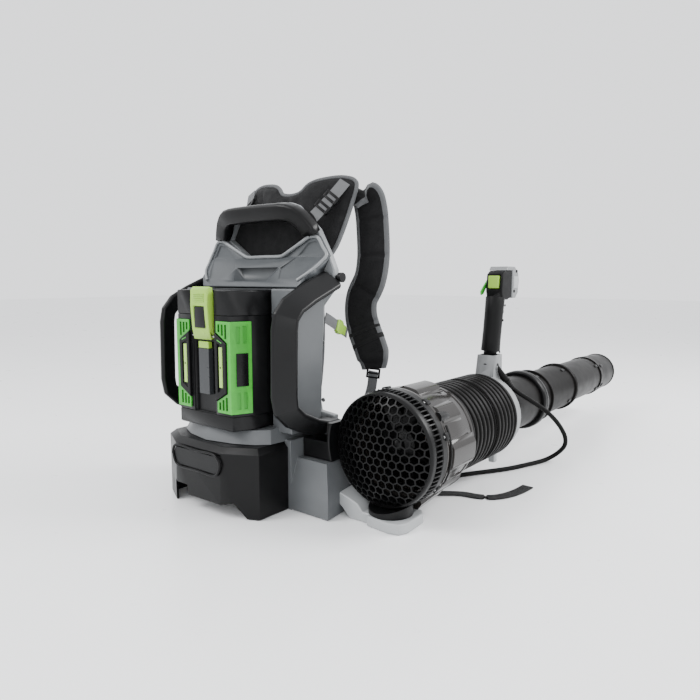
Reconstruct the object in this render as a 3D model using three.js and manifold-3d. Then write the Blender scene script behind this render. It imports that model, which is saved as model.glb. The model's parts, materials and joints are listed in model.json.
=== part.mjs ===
// Backpack leaf blower: a battery pack frame, an axial fan at the right hip, a flexible
// bellows, a hand tube in four sections and a control handle clamped to it.
//
// Millimetres. +Z is up, +Y is the way the wearer faces and +X is the wearer's right.
// The origin is on the ground, under the middle of the pack.

import * as THREE from "three";
import { mergeVertices } from "three/addons/utils/BufferGeometryUtils.js";
import Module from "manifold-3d";

const wasm = await Module();
wasm.setup();

// ---------------------------------------------------------------- driving dimensions

const GAP = 0.4; // clearance between pieces that touch

// Pack: the frame that the battery, the harness and the blower are fixed to.
const DECK = { under: 127, top: 151 }; // tray under the battery
const BOARD = { low: 141, high: 149.4, rear: -38, wall: -8, front: 44, top: 402 };
const SHELL = { rear: BOARD.front + GAP, front: 60, low: 130 }; // plate behind the wearer's pad
const COWL = { half: 127, corner: -104, rear: -137, face: 62, side: -33, shoulder: 117, wall: 5 };
const FOOT = { rear: -32, front: 82, inner: 118, step: 48, top: 95 };
const RIM = { z: 461, y: 40, ear: 497, half: 165 }; // light rim of the upper housing

// Battery: slides down into the bay.
const BATTERY = { face: -115, faceHalf: 74, side: 89, shoulder: -76, back: -14, bottom: 152, top: 400 };
const CHANNEL = { half: 31, depth: 8, low: 178 };
const PANEL = { low: 184, high: 346, thick: 3 };

// Guard bars: one loop on each side of the battery.
const BAR = { middle: 170, half: 20, deep: 16 };

// Blower: everything turns about one line parallel to Y.
const AXIS = new THREE.Vector3(300, 0, 130);
const INTAKE = { tip: -7, rim: 20, rimEnd: 29, radius: 100, ringEnd: 60, ringRadius: 102, bore: 90 };
const HOUSING = { end: 172, radius: 100, tail: 92, bore: 84 };
const BELLOWS = { start: 173, end: 374, radius: 89, root: 82, bore: 77, ribs: 13 };
const CLAMP = { start: 375, end: 414, radius: 84, tail: 67, bore: 61 };
const REAR_TUBE = { start: 378, end: 643, radius: 60, wall: 2.5 };
const LOCK = { start: 571, end: 597, radius: 70 };
const MID_TUBE = { start: 560, end: 824, radius: 57, collar: 62.5 };
const FRONT_TUBE = { start: 760, end: 1058, radius: 54 };
const NOZZLE = { start: 1042, end: 1182, radius: 57, tip: 52 };
const WALL = 2.5;

// Control handle: stands on the clamp and leans forward.
const GRIP = { base: new THREE.Vector3(300, 414, 224), top: new THREE.Vector3(300, 437, 376) };
const HEAD = { half: 20, rear: 428, joint: 478, front: 512, low: 382, high: 446 };

// Control cable: from the handle down to the ground and back under the fan housing.
const CABLE_RADIUS = 5;
const CABLE_ROUTE = [
  [334, 431, 200],
  [341, 440, 187],
  [354, 453, 172],
  [373, 472, 155],
  [396, 500, 131],
  [411, 523, 107],
  [420, 541, 84],
  [424, 555, 62],
  [420, 564, 41],
  [405, 563, 21],
  [388, 547, 8],
  [378, 520, 5.5],
  [366, 484, 5.5],
  [348, 436, 5.5],
  [322, 388, 5.5],
  [300, 351, 5.5],
  [283, 318, 5.5],
  [273, 282, 5.5],
  [269, 248, 6.5],
  [271, 218, 11],
  [276, 194, 19],
  [281, 176, 27],
  [284, 161, 31.5],
];

// ---------------------------------------------------------------- materials

function paint(color, roughness, metalness = 0) {
  return new THREE.MeshStandardMaterial({ color, roughness, metalness });
}

const MATERIAL = {
  shell: paint(0x9a9da0, 0.45),
  silver: paint(0xc9cbcc, 0.4),
  black: paint(0x2b2b2c, 0.5),
  dark: paint(0x46474a, 0.45),
  smoke: paint(0x5a5654, 0.2),
  green: paint(0x52b848, 0.4),
  lime: paint(0xb7d36a, 0.35),
  rubber: paint(0x242424, 0.7),
  tube: paint(0x4b4a4a, 0.35),
  steel: paint(0xa8a8a8, 0.3, 1),
  copper: paint(0xb87333, 0.35, 1),
  cells: paint(0x7d8a94, 0.5, 0.6),
  foam: paint(0x303032, 0.9),
  webbing: paint(0xa3a5a7, 0.85),
  blackWebbing: paint(0x1e1e1f, 0.85),
};

// ---------------------------------------------------------------- geometry helpers

// A closed geometry as a manifold-3d solid, with its faces pointing out.
function solid(geometry) {
  const bare = geometry.index ? geometry.toNonIndexed() : geometry.clone();
  bare.deleteAttribute("normal");
  bare.deleteAttribute("uv");
  const merged = mergeVertices(bare, 1e-3);
  const corners = merged.index.array;
  const build = (order) => {
    const triVerts = [];
    for (let i = 0; i < corners.length; i += 3) {
      const face = order.map((k) => corners[i + k]);
      if (new Set(face).size === 3) triVerts.push(...face);
    }
    return new wasm.Manifold(
      new wasm.Mesh({
        numProp: 3,
        vertProperties: merged.attributes.position.array,
        triVerts: new Uint32Array(triVerts),
      }),
    );
  };
  const made = build([0, 1, 2]);
  return made.volume() < 0 ? build([0, 2, 1]) : made;
}

function cut(body, ...tools) {
  return tools.reduce((rest, tool) => rest.subtract(tool), body);
}

function join(body, ...others) {
  return others.reduce((whole, other) => whole.add(other), body);
}

// A named mesh of one solid.
function piece(name, body, material) {
  const mesh = body.getMesh();
  const geometry = new THREE.BufferGeometry()
    .setAttribute("position", new THREE.BufferAttribute(mesh.vertProperties, 3))
    .setIndex(new THREE.BufferAttribute(mesh.triVerts, 1));
  geometry.computeVertexNormals();
  const made = new THREE.Mesh(geometry, material);
  made.name = name;
  return made;
}

// Matrices that turn a shape's plane and depth (a, b, depth) into the part's axes.
const PLANE = {
  x: new THREE.Matrix4().set(0, 0, 1, 0, 1, 0, 0, 0, 0, 1, 0, 0, 0, 0, 0, 1),
  y: new THREE.Matrix4().set(1, 0, 0, 0, 0, 0, 1, 0, 0, 1, 0, 0, 0, 0, 0, 1),
  z: new THREE.Matrix4(),
};

// An outline pulled along one axis. x takes [y, z] points, y takes [x, z] and z takes [x, y].
function prism(axis, points, from, to, bevel = 0) {
  const shape = new THREE.Shape(points.map(([a, b]) => new THREE.Vector2(a, b)));
  const geometry = new THREE.ExtrudeGeometry(shape, {
    depth: to - from - 2 * bevel,
    bevelEnabled: bevel > 0,
    bevelThickness: bevel,
    bevelSize: bevel,
    bevelOffset: -bevel,
    bevelSegments: 1,
  });
  geometry.translate(0, 0, from + bevel);
  return solid(geometry.applyMatrix4(PLANE[axis]));
}

function box(x0, x1, y0, y1, z0, z1) {
  const geometry = new THREE.BoxGeometry(x1 - x0, y1 - y0, z1 - z0);
  geometry.translate((x0 + x1) / 2, (y0 + y1) / 2, (z0 + z1) / 2);
  return solid(geometry);
}

// A profile of [radius, y] points turned about the blower's axis.
function turned(profile, segments = 32) {
  const points = [...profile, profile[0]].map(([r, y]) => new THREE.Vector2(r, y));
  const geometry = new THREE.LatheGeometry(points, segments);
  return solid(geometry.translate(AXIS.x, 0, AXIS.z));
}

// A plain or stepped tube about the blower's axis, given as [radius, y] pairs and a bore.
function sleeve(outer, bore, segments = 32) {
  const first = outer[0][1];
  const last = outer[outer.length - 1][1];
  return turned([...outer, [bore, last], [bore, first]], segments);
}

// A round bar between two points.
function rod(from, to, radius, segments = 16) {
  const way = to.clone().sub(from);
  const geometry = new THREE.CylinderGeometry(radius, radius, way.length(), segments);
  const turn = new THREE.Quaternion().setFromUnitVectors(
    new THREE.Vector3(0, 1, 0),
    way.clone().normalize(),
  );
  geometry.applyQuaternion(turn);
  const middle = from.clone().add(to).multiplyScalar(0.5);
  return solid(geometry.translate(middle.x, middle.y, middle.z));
}

// A closed skin over rings of points that all have the same count.
function loft(rings) {
  const count = rings[0].length;
  const points = rings.flat();
  const faces = [];
  for (let r = 0; r + 1 < rings.length; r++) {
    for (let k = 0; k < count; k++) {
      const a = r * count + k;
      const b = r * count + ((k + 1) % count);
      faces.push(a, b, b + count, a, b + count, a + count);
    }
  }
  const cap = (start, flip) => {
    const middle = points.length;
    const centre = new THREE.Vector3();
    for (let k = 0; k < count; k++) centre.addScaledVector(points[start + k], 1 / count);
    points.push(centre);
    for (let k = 0; k < count; k++) {
      const pair = [start + k, start + ((k + 1) % count)];
      faces.push(middle, pair[flip ? 1 : 0], pair[flip ? 0 : 1]);
    }
  };
  const last = (rings.length - 1) * count;
  cap(0, true);
  cap(last, false);
  const geometry = new THREE.BufferGeometry().setFromPoints(points).setIndex(faces);
  return solid(geometry);
}

// A section of [across, out] points carried along a path. across gives the direction of the
// section's first coordinate at each share of the way.
function sweep(path, section, across) {
  const last = path.length - 1;
  return loft(
    path.map((at, i) => {
      const along = path[Math.min(i + 1, last)].clone().sub(path[Math.max(i - 1, 0)]).normalize();
      const wide = across(i / last).clone();
      wide.addScaledVector(along, -wide.dot(along)).normalize();
      const out = new THREE.Vector3().crossVectors(along, wide);
      return section(i / last).map(([u, v]) => at.clone().addScaledVector(wide, u).addScaledVector(out, v));
    }),
  );
}

function vectors(list) {
  return list.map(([x, y, z]) => new THREE.Vector3(x, y, z));
}

function smoothPath(list, steps) {
  return new THREE.CatmullRomCurve3(vectors(list), false, "centripetal").getSpacedPoints(steps);
}

function mirrored(points) {
  return points.map(([x, y, z]) => [-x, y, z]);
}

const ACROSS_X = () => new THREE.Vector3(1, 0, 0);

// ---------------------------------------------------------------- pack frame

// Plan of the deck at one level, drawn in by inset.
function deckPlan(inset, z) {
  const rear = [
    [-121, -20], [-118, -66], [-100, -86], [-60, -105], [0, -117],
    [60, -105], [100, -86], [118, -66], [121, -20],
  ];
  const front = [[121, BOARD.front], [-121, BOARD.front]];
  const shrink = (x) => x - Math.sign(x) * inset;
  return [
    ...rear.map(([x, y]) => new THREE.Vector3(shrink(x), y + inset, z)),
    ...front.map(([x, y]) => new THREE.Vector3(shrink(x), y, z)),
  ];
}

function footBlock(side, outer) {
  const plan = (grow, z) => {
    const points = [
      [FOOT.inner - 4, FOOT.rear + grow], [outer - grow, FOOT.rear + grow],
      [outer - 13 - grow, FOOT.front - grow / 2], [FOOT.inner - 4, FOOT.front - grow / 2],
    ];
    return points.map(([x, y]) => new THREE.Vector3(side * x, y, z));
  };
  return loft([plan(3, 0), plan(0, 3), plan(0, FOOT.step), plan(18, FOOT.top)]);
}

function chassis() {
  const deck = loft([deckPlan(0, DECK.under), deckPlan(3, DECK.under + 8), deckPlan(9, DECK.top)]);
  const outline = [
    [-BOARD.low, DECK.top - 8], [BOARD.low, DECK.top - 8], [BOARD.high, 380], [BOARD.high, BOARD.top],
    [-BOARD.high, BOARD.top], [-BOARD.high, 380],
  ];
  const board = prism("y", outline, BOARD.rear, BOARD.front, 2);
  const bay = box(-95, 95, BOARD.rear - 1, BOARD.wall, DECK.top, BOARD.top + 1);
  const electronics = box(-122, 122, 4, BOARD.front + 1, 172, 384);
  const walls = [-1, 1].map((side) =>
    box(side > 0 ? 118 : -133, side > 0 ? 133 : -118, -32, FOOT.front, 0, SHELL.low - GAP),
  );
  const floor = box(-120, 120, -40, FOOT.front, 0, 8);
  const crossbar = box(-120, 120, 66, FOOT.front, 4, SHELL.low - GAP);
  return join(
    cut(join(deck, board), bay, electronics),
    ...walls,
    floor,
    crossbar,
    footBlock(1, 221),
    footBlock(-1, 150),
  );
}

// Plan of the cowl's outside or inside.
function cowlPlan(inset) {
  const { half, corner, rear, face, side } = COWL;
  return [
    [-half + inset, side], [-half + inset, corner + inset * 0.7], [-face, rear + inset],
    [face, rear + inset], [half - inset, corner + inset * 0.7], [half - inset, side],
  ];
}

function baseCowl() {
  const level = (inset, z) => vectors(cowlPlan(inset).map(([x, y]) => [x, y, z]));
  const outside = loft([level(2.5, 0), level(0, 2.5), level(0, COWL.shoulder), level(11, DECK.under - GAP)]);
  const inside = prism("z", [...cowlPlan(COWL.wall), [COWL.half - 5, 10], [-COWL.half + 5, 10]], -1, COWL.shoulder);
  const arch = [
    [-76, -1], [-76, 41], [-33, 41], [-30, 22], [60, 24], [84, 28], [96, 14], [108, -1],
  ];
  const slot = box(-76, 70, COWL.rear - 1, COWL.rear + 2.5, 111, 114.5);
  return cut(outside, inside, prism("y", arch, COWL.rear - 1, COWL.side + 1), slot);
}

function badgePlate() {
  const outline = [[-60, 84], [-66, 98], [-60, 110], [54, 110], [64, 98], [58, 82], [50, 78], [-52, 78]];
  return prism("y", outline, COWL.rear - 2.6, COWL.rear - GAP);
}

function upperHousing() {
  const low = BOARD.top + GAP;
  const side = [
    [-10, low], [-10, low + 4], [14, 438], [34, RIM.z - 4], [RIM.y - 2, RIM.z], [RIM.y - 2, RIM.ear],
    [BOARD.front, RIM.ear], [BOARD.front, low],
  ];
  const face = [
    [-128, low], [-149.4, 424], [-149.4, 436], [-RIM.half, RIM.z], [-142, RIM.ear], [-119, RIM.ear], [-48, RIM.z],
    [48, RIM.z], [119, RIM.ear], [142, RIM.ear], [RIM.half, RIM.z], [149.4, 436], [149.4, 424], [128, low],
  ];
  const body = prism("x", side, -180, 180).intersect(prism("y", face, -20, 60));
  const neck = prism("y", [[-46, 415], [-58, 441], [58, 441], [46, 415]], -20, 26);
  const sunk = prism("x", [[-40, 412], [-3, 412], [18, 438], [36, 458], [41, 466], [41, 492], [-40, 492]], -180, 180);
  const ears = [-1, 1].map((end) => {
    const outline = [[116, 486], [135, 488], [153, 461], [126, 420], [74, 420], [64, 440]];
    return prism("y", outline.map(([x, z]) => [end * x, z]), -20, 60).intersect(sunk);
  });
  return cut(body, neck, ...ears);
}

function carryHandle() {
  const path = smoothPath([
    [-126, 43, 499], [-116, 36, 515], [-98, 26, 535], [-78, 19, 542], [-48, 17, 543], [0, 17, 543.5],
    [48, 17, 543], [78, 19, 542], [98, 26, 535], [116, 36, 515], [126, 43, 499],
  ], 22);
  const section = [[-14, -11], [-8, -16], [8, -16], [14, -11], [14, 11], [8, 16], [-8, 16], [-14, 11]];
  const raw = sweep(path, () => section, () => new THREE.Vector3(0, 1, 0.25));
  return raw.intersect(box(-160, 160, -10, BOARD.front, RIM.ear + GAP, 570));
}

function backShell() {
  const outline = [
    [-80, 557], [-132, 511], [-160, 462], [-172, 436], [-172, 406], [-156, 390], [-138, 370],
    [-126, 200], [-132, 172], [-170, 168], [-170, SHELL.low], [170, SHELL.low], [170, 168], [132, 172], [126, 200],
    [138, 370], [156, 390], [172, 406], [172, 436], [160, 462], [132, 511], [80, 557], [62, 563], [-62, 563],
  ];
  const window = [[-112, 500], [-92, 534], [92, 534], [112, 500], [58, 463], [-58, 463]];
  return cut(
    prism("y", outline, SHELL.rear, SHELL.front, 2),
    prism("y", window, SHELL.rear - 1, SHELL.front + 1),
  );
}

const BAR_PATH = [
  [BAR.middle, BOARD.front - 0.6, 419], [BAR.middle, 14, 408], [BAR.middle, -28, 391], [BAR.middle, -62, 374],
  [BAR.middle, -78, 356], [BAR.middle, -82, 335], [BAR.middle, -83, 270], [BAR.middle, -84, 222],
  [BAR.middle, -80, 198], [BAR.middle, -58, 178], [BAR.middle, -20, 160], [BAR.middle, 12, 150],
  [BAR.middle, BOARD.front - 0.6, 149],
];

// The bar's outer rear edge is cut back, on the side away from the battery.
function guardBar(side) {
  const { half, deep } = BAR;
  const shape = [
    [-half, deep - 4], [-half + 4, deep], [-half + 10, deep - 1], [half, -deep * 0.45],
    [half, -deep + 3], [half - 4, -deep], [-half + 4, -deep], [-half, -deep + 4],
  ];
  const section = shape.map(([u, v]) => [side * u, v]);
  const path = side > 0 ? BAR_PATH : mirrored(BAR_PATH);
  const whole = sweep(vectors(path), () => section, ACROSS_X);
  return whole.intersect(box(-200, 200, -120, BOARD.front, 100, 450));
}

function blowerBracket() {
  const outline = [
    [134, FOOT.top + GAP], [202, FOOT.top + GAP], [197, 118], [196.4, 134], [198.2, 150], [202, 165],
    [190.6, 165], [190.6, 131], [134, 131],
  ];
  return prism("y", outline, 0, 42, 1.5);
}

function hookPeg() {
  const stem = rod(new THREE.Vector3(172.4, 52, 422), new THREE.Vector3(179, 52, 422), 5);
  const knob = rod(new THREE.Vector3(178.5, 52, 422), new THREE.Vector3(187, 52, 422), 9, 20);
  return join(stem, knob);
}

function controllerBox() {
  const body = box(-80, 80, 8, 40, 190, 330);
  const fins = [-60, -36, -12, 12, 36, 60].map((x) => box(x - 2, x + 2, 5, 9, 196, 324));
  return join(body, ...fins);
}

function terminalBlock() {
  return join(
    box(-40, 40, -66, -34, DECK.top + GAP, DECK.top + 7),
    box(-24, -20, -60, -32, DECK.top + 6, DECK.top + 20),
    box(20, 24, -60, -32, DECK.top + 6, DECK.top + 20),
  );
}

function bayRail(side) {
  const outline = [[44, -8.4], [44, -16.2], [40, -16.2], [40, -20], [56, -20], [56, -16.2], [52, -16.2], [52, -8.4]];
  return prism("z", outline.map(([x, y]) => [side * x, y]), DECK.top + 8, 380);
}

// ---------------------------------------------------------------- battery

function batteryPlan(inset) {
  const { face, faceHalf, side, shoulder, back } = BATTERY;
  return [
    [-faceHalf + inset * 0.5, face + inset], [faceHalf - inset * 0.5, face + inset],
    [side - inset, shoulder + inset * 0.4], [side - inset, back - inset],
    [-side + inset, back - inset], [-side + inset, shoulder + inset * 0.4],
  ];
}

function batteryCase() {
  const { bottom, top, face, back } = BATTERY;
  const outside = prism("z", batteryPlan(0), bottom, top, 2);
  const inside = prism("z", batteryPlan(11), bottom + 22, top - 6);
  const mouth = box(-42, 42, -78, back - 14, bottom - 1, bottom + 23);
  const channel = box(-CHANNEL.half, CHANNEL.half, face - 1, face + CHANNEL.depth, CHANNEL.low, top + 1);
  const grooves = [-1, 1].map((side) => {
    const outline = [[43, back + 1], [43, -15.5], [39, -15.5], [39, -21], [57, -21], [57, -15.5], [53, -15.5], [53, back + 1]];
    return prism("z", outline.map(([x, y]) => [side * x, y]), bottom - 1, 385);
  });
  const seams = [CHANNEL.low, 356].map((z) =>
    cut(box(-95, 95, -120, 0, z - 0.7, z + 0.7), prism("z", batteryPlan(1.2), z - 2, z + 2)),
  );
  return cut(outside, inside, mouth, channel, ...grooves, ...seams);
}

function cellPack() {
  const { bottom, top } = BATTERY;
  return cut(
    prism("z", batteryPlan(15), bottom + 26, top - 12),
    box(-60, 60, -40, 0, bottom + 20, top),
    box(-2, 2, -110, 0, bottom + 60, top - 40),
  );
}

// A green cover over the front face and the angled face on one side.
function sidePanel(side) {
  const { face, faceHalf, side: half, shoulder } = BATTERY;
  const t = PANEL.thick;
  const share = 0.86;
  const far = [faceHalf + (half - faceHalf) * share, face + (shoulder - face) * share];
  const outline = [
    [38, face - GAP], [faceHalf + 0.2, face - GAP], [far[0] + 0.4, far[1] - GAP * 0.4],
    [far[0] + 0.4 + t, far[1] - GAP * 0.4 - t * 0.2], [faceHalf + 1.4, face - t], [38, face - t],
  ];
  const body = prism("z", outline.map(([x, y]) => [side * x, y]), PANEL.low, PANEL.high);
  const notch = [[37, 327], [66.5, 309], [66.5, 220], [37, 203]];
  const recess = prism("y", notch.map(([x, z]) => [side * x, z]), face - 10, face + 1);
  return cut(body, recess);
}

function lightBracket(side) {
  const outline = [[36, 326], [65.5, 308], [65.5, 221], [36, 204]];
  const body = prism("y", outline.map(([x, z]) => [side * x, z]), BATTERY.face - 6, BATTERY.face - GAP, 1);
  const slot = [[43, 308], [57, 302], [57, 228], [43, 220]];
  return cut(body, prism("y", slot.map(([x, z]) => [side * x, z]), BATTERY.face - 8, BATTERY.face - 3));
}

const LATCH_PIN = { y: BATTERY.face + 1, z: 318 };

function batteryLatch() {
  const y = BATTERY.face;
  const profile = [
    [y + 6.5, 312], [y + 6.5, 395], [y + 4, 399], [y + 4, 404], [y - 3, 406], [y - 9, 400],
    [y - 10, 372], [y - 7, 330], [y - 3, 312],
  ];
  const body = prism("x", profile, -24, 24, 1.5);
  const window = box(-15.5, 15.5, y - 12, y - 6.4, 332, 372);
  const bore = rod(new THREE.Vector3(-30, LATCH_PIN.y, LATCH_PIN.z), new THREE.Vector3(30, LATCH_PIN.y, LATCH_PIN.z), 2.6, 12);
  return cut(body, window, bore);
}

function latchPin() {
  return rod(new THREE.Vector3(-30.5, LATCH_PIN.y, LATCH_PIN.z), new THREE.Vector3(30.5, LATCH_PIN.y, LATCH_PIN.z), 2.2, 12);
}

function chargeGauge() {
  return box(-14, 14, BATTERY.face - 1, BATTERY.face + 7.5, 296, 308);
}

function channelStrip() {
  return prism("z", [[-14, -116], [14, -116], [16, -107.5], [-16, -107.5]], 212, 295.5, 1);
}

// ---------------------------------------------------------------- blower

// Radius of the intake dome at a given distance in from its tip.
function domeY(r) {
  const share = r / INTAKE.radius;
  return INTAKE.tip + (INTAKE.rim - INTAKE.tip) * share ** 3;
}

function intakeGrille() {
  const band = (inner, outer, segments) =>
    turned([
      [inner, domeY(inner)], [outer, domeY(outer)], [outer, domeY(outer) + 4], [inner, domeY(inner) + 4],
    ], segments);
  const { radius, rimEnd, bore } = INTAKE;
  const rim = turned([[bore, domeY(bore)], [radius, INTAKE.rim], [radius, rimEnd], [bore, rimEnd]], 32);
  const hub = turned([[0, domeY(0)], [9, domeY(9)], [9, domeY(9) + 4], [0, domeY(0) + 4]], 16);
  const spokes = [0, 1, 2, 3, 4, 5, 6, 7].map((k) => {
    const steps = [4, 30, 52, 70, 84, 92];
    const arc = [...steps.map((r) => [r, domeY(r)]), ...steps.reverse().map((r) => [r, domeY(r) + 4.5])];
    const blade = new THREE.Shape(arc.map(([r, y]) => new THREE.Vector2(r, y)));
    const geometry = new THREE.ExtrudeGeometry(blade, { depth: 3, bevelEnabled: false });
    geometry.translate(0, 0, -1.5).rotateY((k * Math.PI) / 4 + 0.2);
    return solid(geometry.translate(AXIS.x, 0, AXIS.z));
  });
  return join(rim, hub, band(30, 34, 24), band(57, 61, 28), ...spokes);
}

function intakeRing() {
  const { ringRadius, rimEnd, ringEnd, bore } = INTAKE;
  return sleeve([[ringRadius - 2, rimEnd + GAP], [ringRadius, rimEnd + 3], [ringRadius, ringEnd]], bore);
}

function fanHousing() {
  const start = INTAKE.ringEnd + GAP;
  const { end, radius, tail, bore } = HOUSING;
  const barrel = sleeve([
    [radius + 2, start], [radius + 2, start + 8], [radius - 1, start + 12], [radius - 2, start + 50],
    [tail, end - 20], [tail - 1, end],
  ], bore);
  const pads = [-0.62, 0.1, Math.PI - 0.1].map((turn) => {
    const slab = new THREE.BoxGeometry(12, 86, 44).translate(radius - 1, (start + end) / 2 + 6, 0);
    slab.rotateY(-turn).translate(AXIS.x, 0, AXIS.z);
    return cut(solid(slab), turned([[0, start - 5], [bore + 1, start - 5], [bore + 1, end + 5], [0, end + 5]], 32));
  });
  const keel = loft([
    vectors([[262, 66, 22], [344, 66, 22], [338, 140, 24], [266, 140, 24]]),
    vectors([[256, 62.5, 34], [352, 62.5, 34], [348, 150, 40], [258, 150, 40]]),
    vectors([[244, 62.5, 62], [366, 62.5, 62], [356, 160, 62], [246, 160, 62]]),
  ]);
  const hollow = turned([[0, start - 5], [bore, start - 5], [bore, end + 5], [0, end + 5]], 32);
  const boss = rod(new THREE.Vector3(378, start + 3, 191), new THREE.Vector3(378, start + 34, 188), 10, 14);
  const cablePort = rod(new THREE.Vector3(284, 138, 38), new THREE.Vector3(284, 160, 32), 8, 14);
  return cut(join(barrel, ...pads, keel, boss, cablePort), hollow);
}

function fanGasket() {
  const start = INTAKE.ringEnd + 8;
  const ring = turned([
    [HOUSING.radius + 3, start], [HOUSING.radius + 5, start + 1], [HOUSING.radius + 5, start + 5],
    [HOUSING.radius + 3, start + 6],
  ], 40);
  const window = prism("y", [[340, 178], [420, 178], [420, 88], [372, 70]], 0, 200);
  return ring.intersect(window);
}

function statorHub() {
  const hub = turned([[30, 118], [36, 122], [36, 164], [32, 168], [30, 168]], 24);
  const vanes = [0, 1, 2, 3, 4, 5, 6].map((k) => {
    const vane = new THREE.BoxGeometry(48.4, 30, 2.4).translate(35 + 24.2, 144, 0);
    vane.rotateY((k * 2 * Math.PI) / 7);
    return solid(vane.translate(AXIS.x, 0, AXIS.z));
  });
  return join(hub, ...vanes).intersect(turned([[20, 100], [83.5, 100], [83.5, 180], [20, 180]], 40));
}

function motor() {
  return turned([[4.2, 112], [26, 112], [29.4, 116], [29.4, 160], [24, 166], [4.2, 166]], 24);
}

function motorShaft() {
  return rod(new THREE.Vector3(AXIS.x, 64, AXIS.z), new THREE.Vector3(AXIS.x, 160, AXIS.z), 4, 16);
}

function impeller() {
  const hub = turned([[4.05, 70], [14, 66], [28, 76], [31, 88], [31, 106], [4.05, 106]], 24);
  const blades = Array.from({ length: 9 }, (_, k) => {
    const blade = new THREE.BoxGeometry(51, 3, 26).translate(56, 0, 0).rotateX(0.7).translate(0, 92, 0);
    blade.rotateY((k * 2 * Math.PI) / 9);
    return solid(blade.translate(AXIS.x, 0, AXIS.z));
  });
  return join(hub, ...blades);
}

function bellows() {
  const { start, end, radius, root, bore, ribs } = BELLOWS;
  const pitch = (end - start) / ribs;
  const outer = [];
  for (let k = 0; k < ribs; k++) {
    const y = start + k * pitch;
    outer.push([root, y + pitch * 0.1], [radius, y + pitch * 0.35], [radius, y + pitch * 0.65], [root, y + pitch * 0.9]);
  }
  return turned([...outer, [bore, end - pitch * 0.1], [bore, start + pitch * 0.1]], 24);
}

function handleClamp() {
  const { start, end, radius, tail, bore } = CLAMP;
  const band = sleeve([
    [radius - 2, start + 1], [radius, start + 4], [radius - 1, start + 26], [tail + 6, end - 5], [tail, end],
  ], bore);
  const socket = loft([
    vectors([[276, 388, 196], [324, 388, 196], [324, 436, 186], [276, 436, 186]]),
    vectors([[279, 393, 212], [321, 393, 212], [321, 436, 208], [279, 436, 208]]),
    vectors([[280, 396, 236], [320, 396, 236], [320, 437, 232], [280, 437, 232]]),
    vectors([[281, 398, 256], [319, 398, 256], [319, 438, 256], [281, 438, 256]]),
  ]);
  const hollow = turned([[0, start - 30], [bore, start - 30], [bore, end + 40], [0, end + 40]], 32);
  const seat = prism("x", [[402, 240], [434, 240], [434, 262], [402, 262]], 284, 316);
  const ears = [-1, 1].map((side) =>
    box(AXIS.x + side * 5 - 3, AXIS.x + side * 5 + 3, start + 8, start + 32, AXIS.z - radius - 17, AXIS.z - radius + 8),
  );
  const split = box(AXIS.x - 2, AXIS.x + 2, start, end + 1, AXIS.z - radius - 20, AXIS.z - bore + 2);
  return cut(join(band, socket, ...ears), hollow, seat, split);
}

function clampScrew() {
  const y = CLAMP.start + 20;
  const z = AXIS.z - CLAMP.radius - 9;
  return rod(new THREE.Vector3(AXIS.x - 14, y, z), new THREE.Vector3(AXIS.x - 8.5, y, z), 5, 12);
}

function rearTube() {
  const { start, end, radius } = REAR_TUBE;
  return sleeve([
    [radius, start], [radius, end - 9], [radius + 5.5, end - 7], [radius + 5.5, end - 2], [radius + 3, end],
  ], radius - WALL);
}

function lockRing() {
  const { start, end, radius } = LOCK;
  return sleeve([
    [radius - 4, start], [radius, start + 4], [radius, end - 4], [radius - 4, end],
  ], REAR_TUBE.radius + GAP);
}

function midTube() {
  const { start, end, radius, collar } = MID_TUBE;
  return sleeve([
    [radius, start], [radius, end - 14], [collar, end - 12], [collar, end - 2], [collar - 2, end],
  ], radius - WALL);
}

function frontTube() {
  const { start, end, radius } = FRONT_TUBE;
  return sleeve([[radius, start], [radius, end]], radius - WALL);
}

function nozzle() {
  const { start, end, radius, tip } = NOZZLE;
  return turned([
    [radius, start], [radius, start + 8], [radius - 1, start + 24], [tip, end - 8], [tip + 1.5, end - 5],
    [tip + 1.5, end], [tip - WALL, end], [FRONT_TUBE.radius - 3, start + 17], [FRONT_TUBE.radius + GAP, start + 16.6],
    [FRONT_TUBE.radius + GAP, start],
  ], 32);
}

// ---------------------------------------------------------------- fan foot

function fanCollar() {
  const centre = new THREE.Vector3(308, 34, 0);
  const drum = rod(centre.clone().setZ(19.4), centre.clone().setZ(46), 39, 28);
  const saddle = turned([[0, -20], [INTAKE.ringRadius + 0.6, -20], [INTAKE.ringRadius + 0.6, 62], [0, 62]], 48);
  const keepOut = box(200, 400, 60.4, 120, 0, 100);
  return cut(drum, saddle, keepOut);
}

function blowerFoot() {
  const outline = [
    [283.4, -4], [330, -9], [350, -4], [357, 14], [354, 66], [344, 78], [283.4, 78],
  ];
  return prism("z", outline, 0, 19, 2);
}

function footArm() {
  const outline = [[205, 28], [224, 15], [239, 0], [283, 0], [283, 18.6], [268, 18.6], [256, 31], [205, 47]];
  return cut(prism("y", outline, 4, 54, 2), footBlock(1, 221.6));
}

// ---------------------------------------------------------------- control handle

function leaning(share) {
  return GRIP.base.clone().lerp(GRIP.top, share);
}

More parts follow.
